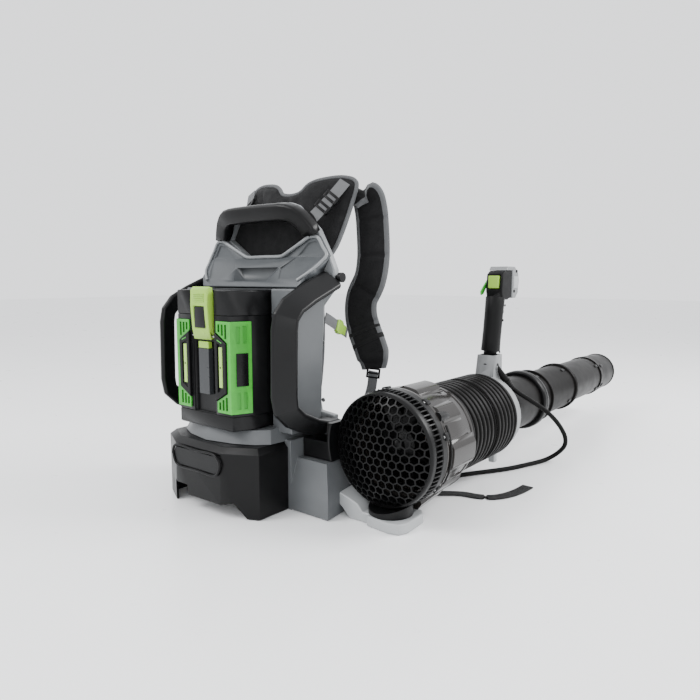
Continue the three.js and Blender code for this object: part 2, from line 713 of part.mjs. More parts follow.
function grip() {
  const oval = (wide, deep) =>
    Array.from({ length: 14 }, (_, k) => {
      const turn = (k * 2 * Math.PI) / 14;
      return [wide * Math.cos(turn), deep * Math.sin(turn)];
    });
  const sizes = [[14, 14.5], [14, 14.5], [20, 22], [19.5, 21.5], [19.5, 21], [19.5, 22], [20, 23]];
  const marks = [0.12, 0.25, 0.26, 0.4, 0.6, 0.8, 1.02];
  const path = marks.map(leaning);
  const stem = sweep(path, (share) => oval(...sizes[Math.round(share * (sizes.length - 1))]), ACROSS_X);
  const { half, rear, joint, low, high } = HEAD;
  const profile = [
    [rear + 6, low - 8], [rear, low + 12], [rear + 4, high - 16], [rear + 16, high - 9], [joint - GAP, high - 9],
    [joint - GAP, low - 2], [joint - 16, low - 8],
  ];
  const head = prism("x", profile, AXIS.x - half + 1, AXIS.x + half - 1, 2);
  const buttonWell = box(AXIS.x - 13, AXIS.x + 13, rear - 4, rear + 12, 398, 427);
  const triggerWell = box(AXIS.x - 6.5, AXIS.x + 6.5, 452, 482, 330, 396);
  const leverWell = rod(new THREE.Vector3(AXIS.x - half - 4, 452, 412), new THREE.Vector3(AXIS.x - half + 5, 452, 412), 12.5, 20);
  const sleeveSlot = box(AXIS.x - 6.5, AXIS.x + 6.5, 449, 470, 352, 398);
  return cut(join(stem, head), buttonWell, triggerWell, leverWell, sleeveSlot);
}

function headCap() {
  const { half, rear, joint, front, low, high } = HEAD;
  const outline = [
    [rear + 17, high - 8.5], [rear + 24, high], [front - 22, high], [front - 4, high - 14], [front, high - 30],
    [front - 4, low + 6], [front - 16, low - 5], [joint, low - 5], [joint, high - 8.5],
  ];
  return prism("x", outline, AXIS.x - half - 1, AXIS.x + half + 1, 1.5);
}

function trigger() {
  const profile = [
    [462, 392.5], [470, 394], [474, 389], [474, 376], [470, 360], [472, 344], [466, 342], [461, 356], [464, 372], [463, 384],
  ];
  return prism("x", profile, AXIS.x - 5.6, AXIS.x + 5.6, 1);
}

function boostButton() {
  const { rear } = HEAD;
  return box(AXIS.x - 12, AXIS.x + 12, rear - 3, rear + 7.5, 399, 426);
}

const LEVER = { y: 452, z: 412 };

function cruiseLever() {
  const x = AXIS.x - HEAD.half + 4.4;
  const hub = rod(new THREE.Vector3(x - 8, LEVER.y, LEVER.z), new THREE.Vector3(x, LEVER.y, LEVER.z), 11.5, 20);
  const arm = prism("x", [[444, 408], [449, 420], [427, 404], [414, 392], [416, 384], [424, 386]], x - 10, x - 5.6, 1);
  return join(hub, arm);
}

// Boot where the cable leaves the handle's base, just clear of the socket.
function cableGland() {
  const from = new THREE.Vector3(318, 409.5, 231);
  const to = new THREE.Vector3(333.6, 430.5, 200.6);
  return cut(rod(from, to, 7.5, 12), box(280, 324.4, 380, 440, 180, 260));
}

// ---------------------------------------------------------------- control cable

function controlCable() {
  const path = new THREE.CatmullRomCurve3(vectors(CABLE_ROUTE), false, "centripetal");
  const ring = new THREE.Shape(
    Array.from({ length: 8 }, (_, k) => {
      const turn = (k * Math.PI) / 4;
      return new THREE.Vector2(CABLE_RADIUS * Math.cos(turn), CABLE_RADIUS * Math.sin(turn));
    }),
  );
  return solid(new THREE.ExtrudeGeometry(ring, { steps: 56, extrudePath: path }));
}

// ---------------------------------------------------------------- harness

function padSection(half, thick) {
  return [
    [-half, -thick * 0.3], [-half * 0.8, -thick], [half * 0.8, -thick], [half, -thick * 0.3],
    [half, thick * 0.3], [half * 0.8, thick], [-half * 0.8, thick], [-half, thick * 0.3],
  ];
}

function backPad() {
  const outline = [
    [-112, 190], [-90, 176], [90, 176], [112, 190], [124, 300], [120, 400], [104, 448], [-104, 448],
    [-120, 400], [-124, 300],
  ];
  return prism("y", outline, SHELL.front + GAP, SHELL.front + 22, 6);
}

// The yoke leans away from the frame as it rises, and its wings bend forwards.
const YOKE = { low: 452, lean: 0.3, bend: 30, half: 146 };

function yokeShift(x, z) {
  return YOKE.lean * (z - YOKE.low) + YOKE.bend * (x / YOKE.half) ** 2;
}

function shoulderYoke() {
  const edge = [
    [26, 590], [40, 606], [60, 613], [105, 617], [132, 613], [YOKE.half, 603], [141, 558], [135, 515],
    [127, 478], [112, YOKE.low],
  ];
  const outline = [[0, 586], ...edge, ...edge.map(([x, z]) => [-x, z]).reverse()];
  const flat = prism("y", outline, SHELL.front + 6, SHELL.front + 20, 3);
  return flat.refineToLength(40).warp((at) => {
    at[1] += yokeShift(at[0], at[2]);
  });
}

const STRAP_ROUTE = [
  [132, 167, 590], [138, 171, 602], [145, 174, 599], [151, 173, 584], [154, 177, 561], [159, 178, 517], [162, 176, 458],
  [157, 172, 418], [140, 168, 380], [141, 164, 348], [152, 161, 318], [168, 157, 290], [180, 154, 265], [184, 151, 244],
];

function shoulderStrap(side) {
  const route = side > 0 ? STRAP_ROUTE : mirrored(STRAP_ROUTE);
  const wide = new THREE.Vector3(1, 0.25 * side, 0);
  return sweep(smoothPath(route, 22), () => padSection(35, 7), () => wide);
}

// Webbing from the bottom of a shoulder strap back to the hip of the frame.
function lowerStrap(side) {
  const route = [[184, 149, 232], [181, 146, 205], [172, 138, 172], [158, 122, 142], [142, 104, 122], [127, 88.5, 114]];
  const path = smoothPath(side > 0 ? route : mirrored(route), 8);
  return sweep(path, () => [[-12.5, -1.2], [12.5, -1.2], [12.5, 1.2], [-12.5, 1.2]], ACROSS_X);
}

// Webbing and ladder lock from the top of the frame to the top of a shoulder strap.
function lifterStrap(side) {
  const route = [[97, 65, 530], [102, 78, 543], [108, 92, 558], [116, 105, 574], [124, 117, 590], [131, 126.5, 604]];
  const path = smoothPath(side > 0 ? route : mirrored(route), 8);
  const wide = new THREE.Vector3(0.8, 0.1, -0.6 * side);
  return sweep(path, () => [[-13, -1.2], [13, -1.2], [13, 1.2], [-13, 1.2]], () => wide);
}

// Webbing and clip from the side of the frame to the shoulder strap.
function sideStrap() {
  const path = smoothPath([[132, 66, 347], [131, 80, 341], [129, 105, 329], [126, 130, 317], [124, 140, 312]], 6);
  return sweep(path, () => [[-2.5, -11], [2.5, -11], [2.5, 11], [-2.5, 11]], ACROSS_X);
}

function waistStrap() {
  const path = smoothPath([
    [184, 164, 200], [184, 166, 150], [184, 168, 100], [190, 172, 50], [210, 178, 16], [240, 187, 3], [282, 198, 2],
    [337, 234, 2], [366, 240, 2], [390, 251, 2], [408, 278, 2], [418, 316, 2], [421, 356, 2],
  ], 30);
  const flat = (share) => new THREE.Vector3(-0.5 + share * 1.4, 1 - share, 0);
  const whole = sweep(path, () => [[-12, -1.3], [12, -1.3], [12, 1.3], [-12, 1.3]], flat);
  return whole.intersect(box(100, 450, 60, 400, 0.4, 200));
}

// ---------------------------------------------------------------- assembly

function packGroup() {
  const group = new THREE.Group();
  group.add(
    piece("chassis", chassis(), MATERIAL.shell),
    piece("base_cowl", baseCowl(), MATERIAL.black),
    piece("badge_plate", badgePlate(), MATERIAL.dark),
    piece("upper_housing", upperHousing(), MATERIAL.shell),
    piece("carry_handle", carryHandle(), MATERIAL.black),
    piece("back_shell", backShell(), MATERIAL.shell),
    piece("guard_bar_right", guardBar(1), MATERIAL.dark),
    piece("guard_bar_left", guardBar(-1), MATERIAL.dark),
    piece("blower_bracket", blowerBracket(), MATERIAL.dark),
    piece("hook_peg", hookPeg(), MATERIAL.dark),
    piece("controller_box", controllerBox(), MATERIAL.steel),
    piece("terminal_block", terminalBlock(), MATERIAL.copper),
    piece("bay_rail_right", bayRail(1), MATERIAL.black),
    piece("bay_rail_left", bayRail(-1), MATERIAL.black),
    piece("foot_arm", footArm(), MATERIAL.silver),
    piece("blower_foot", blowerFoot(), MATERIAL.silver),
    piece("fan_collar", fanCollar(), MATERIAL.black),
  );
  return group;
}

function batteryGroup() {
  const group = new THREE.Group();
  group.add(
    piece("battery_case", batteryCase(), MATERIAL.dark),
    piece("cell_pack", cellPack(), MATERIAL.cells),
    piece("side_panel_right", sidePanel(1), MATERIAL.green),
    piece("side_panel_left", sidePanel(-1), MATERIAL.green),
    piece("light_bracket_right", lightBracket(1), MATERIAL.dark),
    piece("light_bracket_left", lightBracket(-1), MATERIAL.dark),
    piece("battery_latch", batteryLatch(), MATERIAL.lime),
    piece("latch_pin", latchPin(), MATERIAL.steel),
    piece("charge_gauge", chargeGauge(), MATERIAL.lime),
    piece("channel_strip", channelStrip(), MATERIAL.dark),
  );
  return group;
}

function blowerGroup() {
  const group = new THREE.Group();
  group.add(
    piece("intake_grille", intakeGrille(), MATERIAL.black),
    piece("intake_ring", intakeRing(), MATERIAL.black),
    piece("fan_housing", fanHousing(), MATERIAL.smoke),
    piece("fan_gasket", fanGasket(), MATERIAL.rubber),
    piece("stator_hub", statorHub(), MATERIAL.black),
    piece("motor", motor(), MATERIAL.copper),
    piece("motor_shaft", motorShaft(), MATERIAL.steel),
    piece("impeller", impeller(), MATERIAL.black),
    piece("bellows", bellows(), MATERIAL.rubber),
    piece("handle_clamp", handleClamp(), MATERIAL.silver),
    piece("clamp_screw", clampScrew(), MATERIAL.steel),
    piece("rear_tube", rearTube(), MATERIAL.tube),
    piece("lock_ring", lockRing(), MATERIAL.black),
    piece("mid_tube", midTube(), MATERIAL.tube),
    piece("front_tube", frontTube(), MATERIAL.tube),
    piece("nozzle", nozzle(), MATERIAL.tube),
  );
  return group;
}

function handleGroup() {
  const group = new THREE.Group();
  group.add(
    piece("grip", grip(), MATERIAL.dark),
    piece("head_cap", headCap(), MATERIAL.silver),
    piece("trigger", trigger(), MATERIAL.black),
    piece("boost_button", boostButton(), MATERIAL.lime),
    piece("cruise_lever", cruiseLever(), MATERIAL.green),
    piece("cable_gland", cableGland(), MATERIAL.rubber),
  );
  return group;
}

function harnessGroup() {
  const group = new THREE.Group();
  group.add(
    piece("back_pad", backPad(), MATERIAL.foam),
    piece("shoulder_yoke", shoulderYoke(), MATERIAL.foam),
    piece("shoulder_strap_right", shoulderStrap(1), MATERIAL.foam),
    piece("shoulder_strap_left", shoulderStrap(-1), MATERIAL.foam),
    piece("lower_strap_right", lowerStrap(1), MATERIAL.webbing),
    piece("lower_strap_left", lowerStrap(-1), MATERIAL.webbing),
    piece("lifter_strap_right", lifterStrap(1), MATERIAL.webbing),
    piece("lifter_strap_left", lifterStrap(-1), MATERIAL.webbing),
    piece("side_strap", sideStrap(), MATERIAL.webbing),
    piece("waist_strap", waistStrap(), MATERIAL.blackWebbing),
  );
  return group;
}

const leafBlower = new THREE.Group();
leafBlower.add(packGroup(), batteryGroup(), blowerGroup(), handleGroup(), harnessGroup());
leafBlower.add(piece("control_cable", controlCable(), MATERIAL.rubber));

export default leafBlower;
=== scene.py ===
"""Looks for the backpack leaf blower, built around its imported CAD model. Metres, +Z up."""

import json
import math

import bmesh
import bpy
from mathutils import Euler, Matrix, Vector
from mathutils.bvhtree import BVHTree
from mathutils.geometry import delaunay_2d_cdt

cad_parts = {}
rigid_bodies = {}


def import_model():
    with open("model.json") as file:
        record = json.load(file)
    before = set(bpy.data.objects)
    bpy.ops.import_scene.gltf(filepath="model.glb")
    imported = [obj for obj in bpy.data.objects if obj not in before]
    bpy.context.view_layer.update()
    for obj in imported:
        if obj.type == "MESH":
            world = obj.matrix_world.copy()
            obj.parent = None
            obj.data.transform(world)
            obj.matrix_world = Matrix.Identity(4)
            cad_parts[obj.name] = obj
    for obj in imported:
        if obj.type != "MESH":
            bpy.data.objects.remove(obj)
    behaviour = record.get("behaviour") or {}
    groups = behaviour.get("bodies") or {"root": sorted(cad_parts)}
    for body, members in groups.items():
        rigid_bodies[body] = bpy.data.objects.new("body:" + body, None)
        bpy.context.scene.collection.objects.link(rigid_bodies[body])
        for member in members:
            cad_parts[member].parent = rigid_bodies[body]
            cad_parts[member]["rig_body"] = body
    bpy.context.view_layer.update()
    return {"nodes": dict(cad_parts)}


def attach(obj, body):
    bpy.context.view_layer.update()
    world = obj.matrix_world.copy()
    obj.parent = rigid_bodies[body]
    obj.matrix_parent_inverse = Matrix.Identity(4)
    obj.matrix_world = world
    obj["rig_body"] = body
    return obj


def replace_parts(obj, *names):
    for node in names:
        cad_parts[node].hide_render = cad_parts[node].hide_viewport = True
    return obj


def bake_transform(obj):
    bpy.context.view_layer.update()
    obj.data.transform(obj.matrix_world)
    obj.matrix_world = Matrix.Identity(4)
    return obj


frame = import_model()
NODES = frame["nodes"]
MM = 0.001

AXIS_X, AXIS_Z = 0.300, 0.130  # the blower's line, parallel to Y
FLEX = Vector((AXIS_X, 0.274, AXIS_Z))  # where the bellows bends
SIDES = ((1, "right"), (-1, "left"))


def linked(name, data):
    """A new object in the scene."""
    thing = bpy.data.objects.new(name, data)
    bpy.context.scene.collection.objects.link(thing)
    return thing


# ---- camera, light and floor

def make_camera():
    data = bpy.data.cameras.new("camera")
    data.lens = 31.42
    data.sensor_width = 36
    camera = linked("camera", data)
    camera.location = (0.888, -0.8031, 0.421)
    camera.rotation_euler = (math.radians(83.28), 0, math.radians(38.7))
    bpy.context.scene.camera = camera


def area_light(name, place, target, size, power):
    data = bpy.data.lights.new(name, "AREA")
    data.shape = "DISK"
    data.size = size
    data.energy = power
    light = linked(name, data)
    light.location = place
    light.rotation_euler = (Vector(target) - Vector(place)).to_track_quat("-Z", "Y").to_euler()


def make_studio():
    world = bpy.data.worlds.new("studio")
    bpy.context.scene.world = world
    world.use_nodes = True
    sky = world.node_tree.nodes["Background"].inputs
    sky["Color"].default_value = (0.97, 0.98, 1.0, 1)
    sky["Strength"].default_value = 1.75
    area_light("key", (-0.9, -1.6, 2.2), (0.1, 0.1, 0.2), 1.4, 60)
    area_light("rim", (1.9, 1.5, 1.7), (0.3, 0.4, 0.2), 1.2, 80)
    area_light("fill", (1.6, -1.6, 0.9), (0.2, 0.1, 0.2), 1.2, 10)
    mesh = bpy.data.meshes.new("floor")
    reach = 12
    corners = [(-reach, -reach, 0), (reach, -reach, 0), (reach, reach, 0), (-reach, reach, 0)]
    mesh.from_pydata(corners, [], [(0, 1, 2, 3)])
    mesh.materials.append(Finish("floor", (0.86, 0.865, 0.87), 0.32).shade(0.01, 3).material)
    linked("floor", mesh)


# ---- materials

class Finish:
    """A Principled material whose colour, roughness and bump come from noise in the row frame."""

    def __init__(self, name, color, roughness, specular=0.5, metallic=0.0, **sockets):
        self.material = bpy.data.materials.new(name)
        self.material.use_nodes = True
        self.tree = self.material.node_tree
        self.sockets = self.tree.nodes["Principled BSDF"].inputs
        self.color = color
        self.roughness = roughness
        self.sockets["Metallic"].default_value = metallic
        self.sockets["Roughness"].default_value = roughness
        self.sockets["Specular IOR Level"].default_value = specular
        self.sockets["Base Color"].default_value = (*color, 1)
        for socket, value in sockets.items():
            self.sockets[socket.replace("_", " ").title()].default_value = value
        self.place = self.node("ShaderNodeTexCoord").outputs["Object"]
        self.surface = None
        self.height = None

    def node(self, kind, settings=(), **inputs):
        made = self.tree.nodes.new(kind)
        for key, value in dict(settings).items():
            setattr(made, key, value)
        for key, value in inputs.items():
            socket = made.inputs[int(key[1:]) if key[1:].isdigit() else key]
            if isinstance(value, bpy.types.NodeSocket):
                self.tree.links.new(value, socket)
            else:
                socket.default_value = value
        return made

    def link(self, source, socket):
        self.tree.links.new(source, self.sockets[socket])

    def noise(self, scale, detail):
        return self.node("ShaderNodeTexNoise", Vector=self.place, Scale=scale, Detail=detail).outputs[0]

    def spread(self, value, low, high, to_low, to_high):
        made = self.node("ShaderNodeMapRange", i0=value, i1=low, i2=high, i3=to_low, i4=to_high)
        return made.outputs[0]

    def math(self, operation, first, second=0.0):
        return self.node("ShaderNodeMath", {"operation": operation}, i0=first, i1=second).outputs[0]

    def paint(self, share, first, second):
        """Colours the surface with a mix of two colours."""
        made = self.node("ShaderNodeMix", {"data_type": "RGBA"}, i0=share, i6=first, i7=second)
        self.surface = made.outputs[2]
        self.link(self.surface, "Base Color")

    def tone(self, factor):
        return (*(min(1.0, c * factor) for c in self.color), 1)

    def shade(self, amount, scale=9.0):
        """Cloudy light and dark, and roughness to match."""
        share = self.spread(self.noise(scale, 5.0), 0.3, 0.7, 0.0, 1.0)
        self.paint(share, self.tone(1 - amount), self.tone(1 + amount))
        low, high = self.roughness * 0.85, self.roughness * 1.15
        self.link(self.spread(self.noise(scale * 4, 4.0), 0.3, 0.7, low, high), "Roughness")
        return self

    def wear_and_highlight(self, amount, factor=1.8):
        """Lighter edges: partly rubbed wear, partly a painted highlight along the bevels."""
        point = self.node("ShaderNodeNewGeometry").outputs["Pointiness"]
        # painted highlight in part: convex edges are lightened, and noise breaks them up as rubbed wear
        edge = self.spread(point, 0.53, 0.62, 0.0, amount)
        broken = self.math("MULTIPLY", edge, self.spread(self.noise(60, 4.0), 0.35, 0.65, 0.3, 1.0))
        self.paint(broken, self.surface, self.tone(factor))
        return self

    def bump(self, height, strength, distance=0.0003):
        normal = {"Normal": self.height} if self.height else {}
        made = self.node("ShaderNodeBump", Height=height, Strength=strength, Distance=distance, **normal)
        self.height = made.outputs[0]
        self.link(self.height, "Normal")
        return self


def moulded(name, color, roughness, grain=900, depth=0.3, shade=0.1, wear_and_highlight=0.3, **sockets):
    finish = Finish(name, color, roughness, **sockets).shade(shade).wear_and_highlight(wear_and_highlight)
    return finish.bump(finish.noise(grain, 3.0), depth).material


def knit(name, color, cell=0.0026):
    """Open spacer mesh: small holes in a soft dark knit, the holes darkened as painted shade."""
    finish = Finish(name, color, 0.85, sheen_weight=0.04, specular=0.2).shade(0.18, 14)
    holes = finish.node("ShaderNodeTexVoronoi", Vector=finish.place, Scale=1 / cell)
    ring = finish.spread(holes.outputs["Distance"], 0.15, 0.45, 0.0, 1.0)
    # painted shade: the colour darkens to a quarter of the knit's tone in the holes
    finish.paint(ring, finish.tone(0.25), finish.surface)
    return finish.bump(ring, 0.7, 0.0006).material


def cloth(name, color, thread=0.0009):
    """Plain woven cloth that faces +Y or -Y."""
    finish = Finish(name, color, 0.8, sheen_weight=0.04, specular=0.2).shade(0.12, 12)
    x, _, z = finish.node("ShaderNodeSeparateXYZ", i0=finish.place).outputs
    turn = 2 * math.pi / thread
    weft = finish.math("SINE", finish.math("MULTIPLY", x, turn))
    warp = finish.math("SINE", finish.math("MULTIPLY", z, turn))
    weave = finish.math("MULTIPLY", weft, warp)
    finish.paint(finish.spread(weave, -1, 1, 0, 0.5), finish.surface, finish.tone(0.5))
    return finish.bump(weave, 0.4, 0.0003).material


def tape(name, color, rib=0.0016):
    """Woven webbing: ribs across the tape, from the strip's own across and along measures."""
    finish = Finish(name, color, 0.75, sheen_weight=0.03, specular=0.25).shade(0.1, 20)
    weave = finish.node("ShaderNodeAttribute", {"attribute_name": "weave"}).outputs["Vector"]
    across, along, _ = finish.node("ShaderNodeSeparateXYZ", i0=weave).outputs
    ribs = finish.math("SINE", finish.math("MULTIPLY", along, 2 * math.pi / rib))
    cords = finish.math("SINE", finish.math("MULTIPLY", across, 2 * math.pi / (rib * 1.3)))
    height = finish.math("ADD", ribs, finish.math("MULTIPLY", cords, 0.7))
    # painted shade: the hollows between ribs and cords are darkened
    finish.paint(finish.spread(height, -1.7, 1.7, 0.55, 0), finish.surface, finish.tone(0.45))
    return finish.bump(height, 0.6, 0.0004).material


def brushed(name, color, roughness):
    finish = Finish(name, color, roughness, metallic=1.0).shade(0.08, 30)
    return finish.bump(finish.noise(1500, 2.0), 0.15).material


# the CAD material of each finish that has another name
SLOTS = {
    "housing_grey": "shell_grey", "trim_grey": "shell_grey", "shaded_silver_plastic": "silver_plastic",
    "slate_plastic": "dark_plastic", "lamp_lime": "lime_plastic", "grip_rubber": "dark_plastic",
    "blank_label": "dark_plastic", "pad_mesh": "pad_fabric", "pad_cloth": "pad_fabric",
    "pad_binding": "grey_webbing",
}


def make_materials():
    return {
        "shell": moulded("shell_grey", (0.082, 0.087, 0.091), 0.4, wear_and_highlight=0.35, specular=0.4),
        "housing": moulded("housing_grey", (0.05, 0.055, 0.059), 0.42, wear_and_highlight=0.4, specular=0.4),
        "trim": moulded("trim_grey", (0.17, 0.178, 0.183), 0.36, shade=0.05, wear_and_highlight=0.2),
        "silver": moulded("silver_plastic", (0.3, 0.31, 0.315), 0.34, shade=0.05, wear_and_highlight=0.2),
        # painted shade: a darker copy of the silver plastic, for silver parts seen in shade
        "dull": moulded("shaded_silver_plastic", (0.17, 0.175, 0.178), 0.38, shade=0.06, wear_and_highlight=0.25),
        "slate": moulded("slate_plastic", (0.02, 0.022, 0.024), 0.32, specular=0.4),
        "black": moulded("black_plastic", (0.0028, 0.0028, 0.003), 0.34, wear_and_highlight=0.5, specular=0.17),
        "dark": moulded("dark_plastic", (0.0036, 0.0037, 0.004), 0.34, wear_and_highlight=0.6, specular=0.2),
        "smoke": moulded("smoke_plastic", (0.011, 0.0094, 0.0084), 0.2, 250, 0.03, 0.2,
                         specular=0.2, coat_weight=0.25, coat_roughness=0.1),
        "tube": moulded("tube_plastic", (0.003, 0.0026, 0.0024), 0.36, 200, 0.01, 0.12, 0.1,
                        specular=0.09),
        "green": moulded("green_plastic", (0.03, 0.25, 0.02), 0.33, shade=0.08, wear_and_highlight=0.5, specular=0.4),
        "lime": moulded("lime_plastic", (0.24, 0.42, 0.05), 0.3, shade=0.06, wear_and_highlight=0.15, specular=0.4),
        "lamp": moulded("lamp_lime", (0.3, 0.5, 0.1), 0.25, shade=0.05),
        "rubber": moulded("black_rubber", (0.0026, 0.0025, 0.0024), 0.42, 700, 0.1, wear_and_highlight=0.2,
                          specular=0.09),
        "soft": moulded("grip_rubber", (0.003, 0.003, 0.0032), 0.5, 1600, 0.3, wear_and_highlight=0.2,
                        specular=0.13),
        "steel": brushed("steel", (0.4, 0.4, 0.4), 0.32),
        "copper": brushed("copper", (0.5, 0.25, 0.13), 0.35),
        "cells": brushed("cell_foil", (0.35, 0.4, 0.45), 0.45),
        "label": moulded("blank_label", (0.003, 0.003, 0.0033), 0.25, 200, 0.05, specular=0.2),
        "knit": knit("pad_mesh", (0.0065, 0.0065, 0.007)),
        "nylon": cloth("pad_cloth", (0.005, 0.005, 0.0055)),
        "grey_tape": tape("grey_webbing", (0.14, 0.143, 0.147)),
        "black_tape": tape("black_webbing", (0.0045, 0.0045, 0.005)),
        "binding": tape("pad_binding", (0.11, 0.113, 0.117), rib=0.0011),
    }


MATERIALS = make_materials()


# ---- mesh building

def finish_mesh(mesh, angle=32):
    form = bmesh.new()
    form.from_mesh(mesh)
    bmesh.ops.recalc_face_normals(form, faces=form.faces)
    form.to_mesh(mesh)
    form.free()
    mesh.polygons.foreach_set("use_smooth", [True] * len(mesh.polygons))
    mesh.set_sharp_from_angle(angle=math.radians(angle))
    mesh.update()


def make(name, verts, faces, finish, body=None, angle=32, weave=None):
    mesh = bpy.data.meshes.new(name)
    mesh.from_pydata([tuple(v) for v in verts], [], faces)
    if weave:
        values = mesh.attributes.new("weave", "FLOAT_VECTOR", "POINT").data
        values.foreach_set("vector", [c for w in weave for c in (*w, 0.0)])
    finish_mesh(mesh, angle)
    return placed(name, mesh, finish, body)


def placed(name, mesh, finish, body=None):
    """A new piece, on a body when one is given, with the material of its finish."""
    mesh.materials.clear()
    mesh.materials.append(MATERIALS[finish])
    piece = linked(name, mesh)
    if body:
        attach(piece, body)
    made_of = mesh.materials[0].name.split(".")[0]
    SLOTS.get(made_of, made_of)
    return piece


def applied(piece):
    """Its mesh as its modifiers leave it."""
    bpy.context.view_layer.update()
    evaluated = piece.evaluated_get(bpy.context.evaluated_depsgraph_get())
    shaped = bpy.data.meshes.new_from_object(evaluated)
    piece.modifiers.clear()
    piece.data = shaped
    finish_mesh(shaped)


def around(radius, turn, y):
    """A point on a circle about the blower's line, from sizes in millimetres."""
    x, z = radius * MM * math.cos(turn), radius * MM * math.sin(turn)
    return Vector((AXIS_X + x, y * MM, AXIS_Z + z))


def loft(rings, closed=True, caps=True):
    """Vertices and faces over rings of equal count."""
    count = len(rings[0])
    verts = [p for ring in rings for p in ring]
    faces = []
    spans = count if closed else count - 1
    for r in range(len(rings) - 1):
        for k in range(spans):
            a, b = r * count + k, r * count + (k + 1) % count
            faces.append((a, b, b + count, a + count))
    if caps and closed:
        faces.append(tuple(reversed(range(count))))
        faces.append(tuple(range((len(rings) - 1) * count, len(rings) * count)))
    return verts, faces


def frames(path, across):
    """Point, across and out at each path point."""
    last = len(path) - 1
    for i, at in enumerate(path):
        along = (path[min(i + 1, last)] - path[max(i - 1, 0)]).normalized()
        wide = Vector(across(i / last))
        wide = (wide - along * wide.dot(along)).normalized()
        yield at, wide, along.cross(wide)


def circle(radius, sides):
    turns = [2 * math.pi * k / sides for k in range(sides)]
    return [(radius * math.cos(turn), radius * math.sin(turn)) for turn in turns]


def sweep(path, section, across, caps=True):
    """Carries a section of (across, out) points along a path, and gives its weave measures too."""
    last = len(path) - 1
    rings, weave, walked = [], [], 0.0
    for i, (at, wide, out) in enumerate(frames(path, across)):
        walked += (path[i] - path[i - 1]).length if i else 0.0
        points = section(i / last)
        rings.append([at + wide * u + out * v for u, v in points])
        weave.extend((u, walked) for u, _ in points)
    return *loft(rings, True, caps), weave


def swept(name, path, section, across, finish, angle, body="pack", caps=True):
    """A piece on a body, swept along a path."""
    verts, faces, weave = sweep(path, section, across, caps)
    return make(name, verts, faces, finish, body, angle, weave)


def curve_points(points, steps):
    """Even points along a centripetal Catmull-Rom curve."""
    knots = [Vector(p) * MM for p in points]
    knots = [knots[0] * 2 - knots[1], *knots, knots[-1] * 2 - knots[-2]]
    fine = []
    for a, b, c, d in zip(knots, knots[1:], knots[2:], knots[3:]):
        t1 = max((b - a).length, 1e-9) ** 0.5
        t2 = t1 + max((c - b).length, 1e-9) ** 0.5
        t3 = t2 + max((d - c).length, 1e-9) ** 0.5
        for k in range(16):
            t = t1 + (t2 - t1) * k / 16
            bc = between(b, c, t, t1, t2)
            near = between(between(a, b, t, 0, t1), bc, t, 0, t2)
            far = between(bc, between(c, d, t, t2, t3), t, t1, t3)
            fine.append(between(near, far, t, t1, t2))
    fine.append(knots[-2])
    return evenly(fine, steps)


def between(p, q, t, low, high):
    """The point at t on the line that is p at low and q at high."""
    return p * ((high - t) / (high - low)) + q * ((t - low) / (high - low))


def evenly(points, steps):
    """Points at even distances along a line, its ends included."""
    lengths = [0.0]
    for a, b in zip(points, points[1:]):
        lengths.append(lengths[-1] + (b - a).length)
    even, k = [], 0
    for i in range(steps + 1):
        want = lengths[-1] * i / steps
        while k < len(points) - 2 and lengths[k + 1] < want:
            k += 1
        share = (want - lengths[k]) / max(lengths[k + 1] - lengths[k], 1e-9)
        even.append(points[k].lerp(points[k + 1], min(1.0, share)))
    return even


def path_length(path):
    return sum((b - a).length for a, b in zip(path, path[1:]))


def turned(name, profile, finish, body, segments=96, whole=True):
    """A closed profile of (radius, y) in millimetres turned about the blower's line."""
    turns = [2 * math.pi * k / segments for k in range(segments)]
    rings = [[around(r, turn, y) for r, y in profile] for turn in turns]
    rings.append(rings[0])
    piece = make(name, *loft(rings, whole, False), finish)
    weld(piece.data, piece.data)
    if body:
        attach(piece, body)
    return piece


def weld(source, target, distance=1e-6):
    """Writes a mesh into another with its doubled points made one."""
    form = bmesh.new()
    form.from_mesh(source)
    bmesh.ops.remove_doubles(form, verts=form.verts, dist=distance)
    form.to_mesh(target)
    form.free()
    finish_mesh(target)


def soft_box(name, centre, size, finish, body, radius=1.0, turn=(0, 0, 0)):
    """A box in millimetres with rounded edges."""
    form = bmesh.new()
    bmesh.ops.create_cube(form, size=1)
    bmesh.ops.scale(form, vec=Vector(size) * MM, verts=form.verts)
    bmesh.ops.bevel(form, geom=form.edges[:], offset=radius * MM, segments=3, profile=0.5,
                    affect="EDGES", clamp_overlap=True)
    swing = Euler([math.radians(t) for t in turn]).to_matrix().to_4x4()
    place = Matrix.Translation(Vector(centre) * MM) @ swing
    bmesh.ops.transform(form, matrix=place, verts=form.verts)
    mesh = bpy.data.meshes.new(name)
    form.to_mesh(mesh)
    form.free()
    finish_mesh(mesh, 40)
    return placed(name, mesh, finish, body)


def joined(name, pieces, place):
    """Several meshes made one piece and put in place on the pack, with the first one's materials."""
    form = bmesh.new()
    for piece in pieces:
        form.from_mesh(piece.data)
    keep = pieces[0]
    form.to_mesh(keep.data)
    form.free()
    keep.data.set_sharp_from_angle(angle=math.radians(32))
    for piece in pieces[1:]:
        bpy.data.objects.remove(piece)
    keep.name = name
    keep.data.name = name
    keep.data.transform(place)
    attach(keep, "pack")


def carve(piece, cutters):
    """Cuts pieces out of a piece, which comes before it rides."""
    for cutter in cutters:
        change = piece.modifiers.new("cut", "BOOLEAN")
        change.operation = "DIFFERENCE"
        change.solver = "EXACT"
        change.object = cutter
    applied(piece)
    for cutter in cutters:
        bpy.data.objects.remove(cutter)


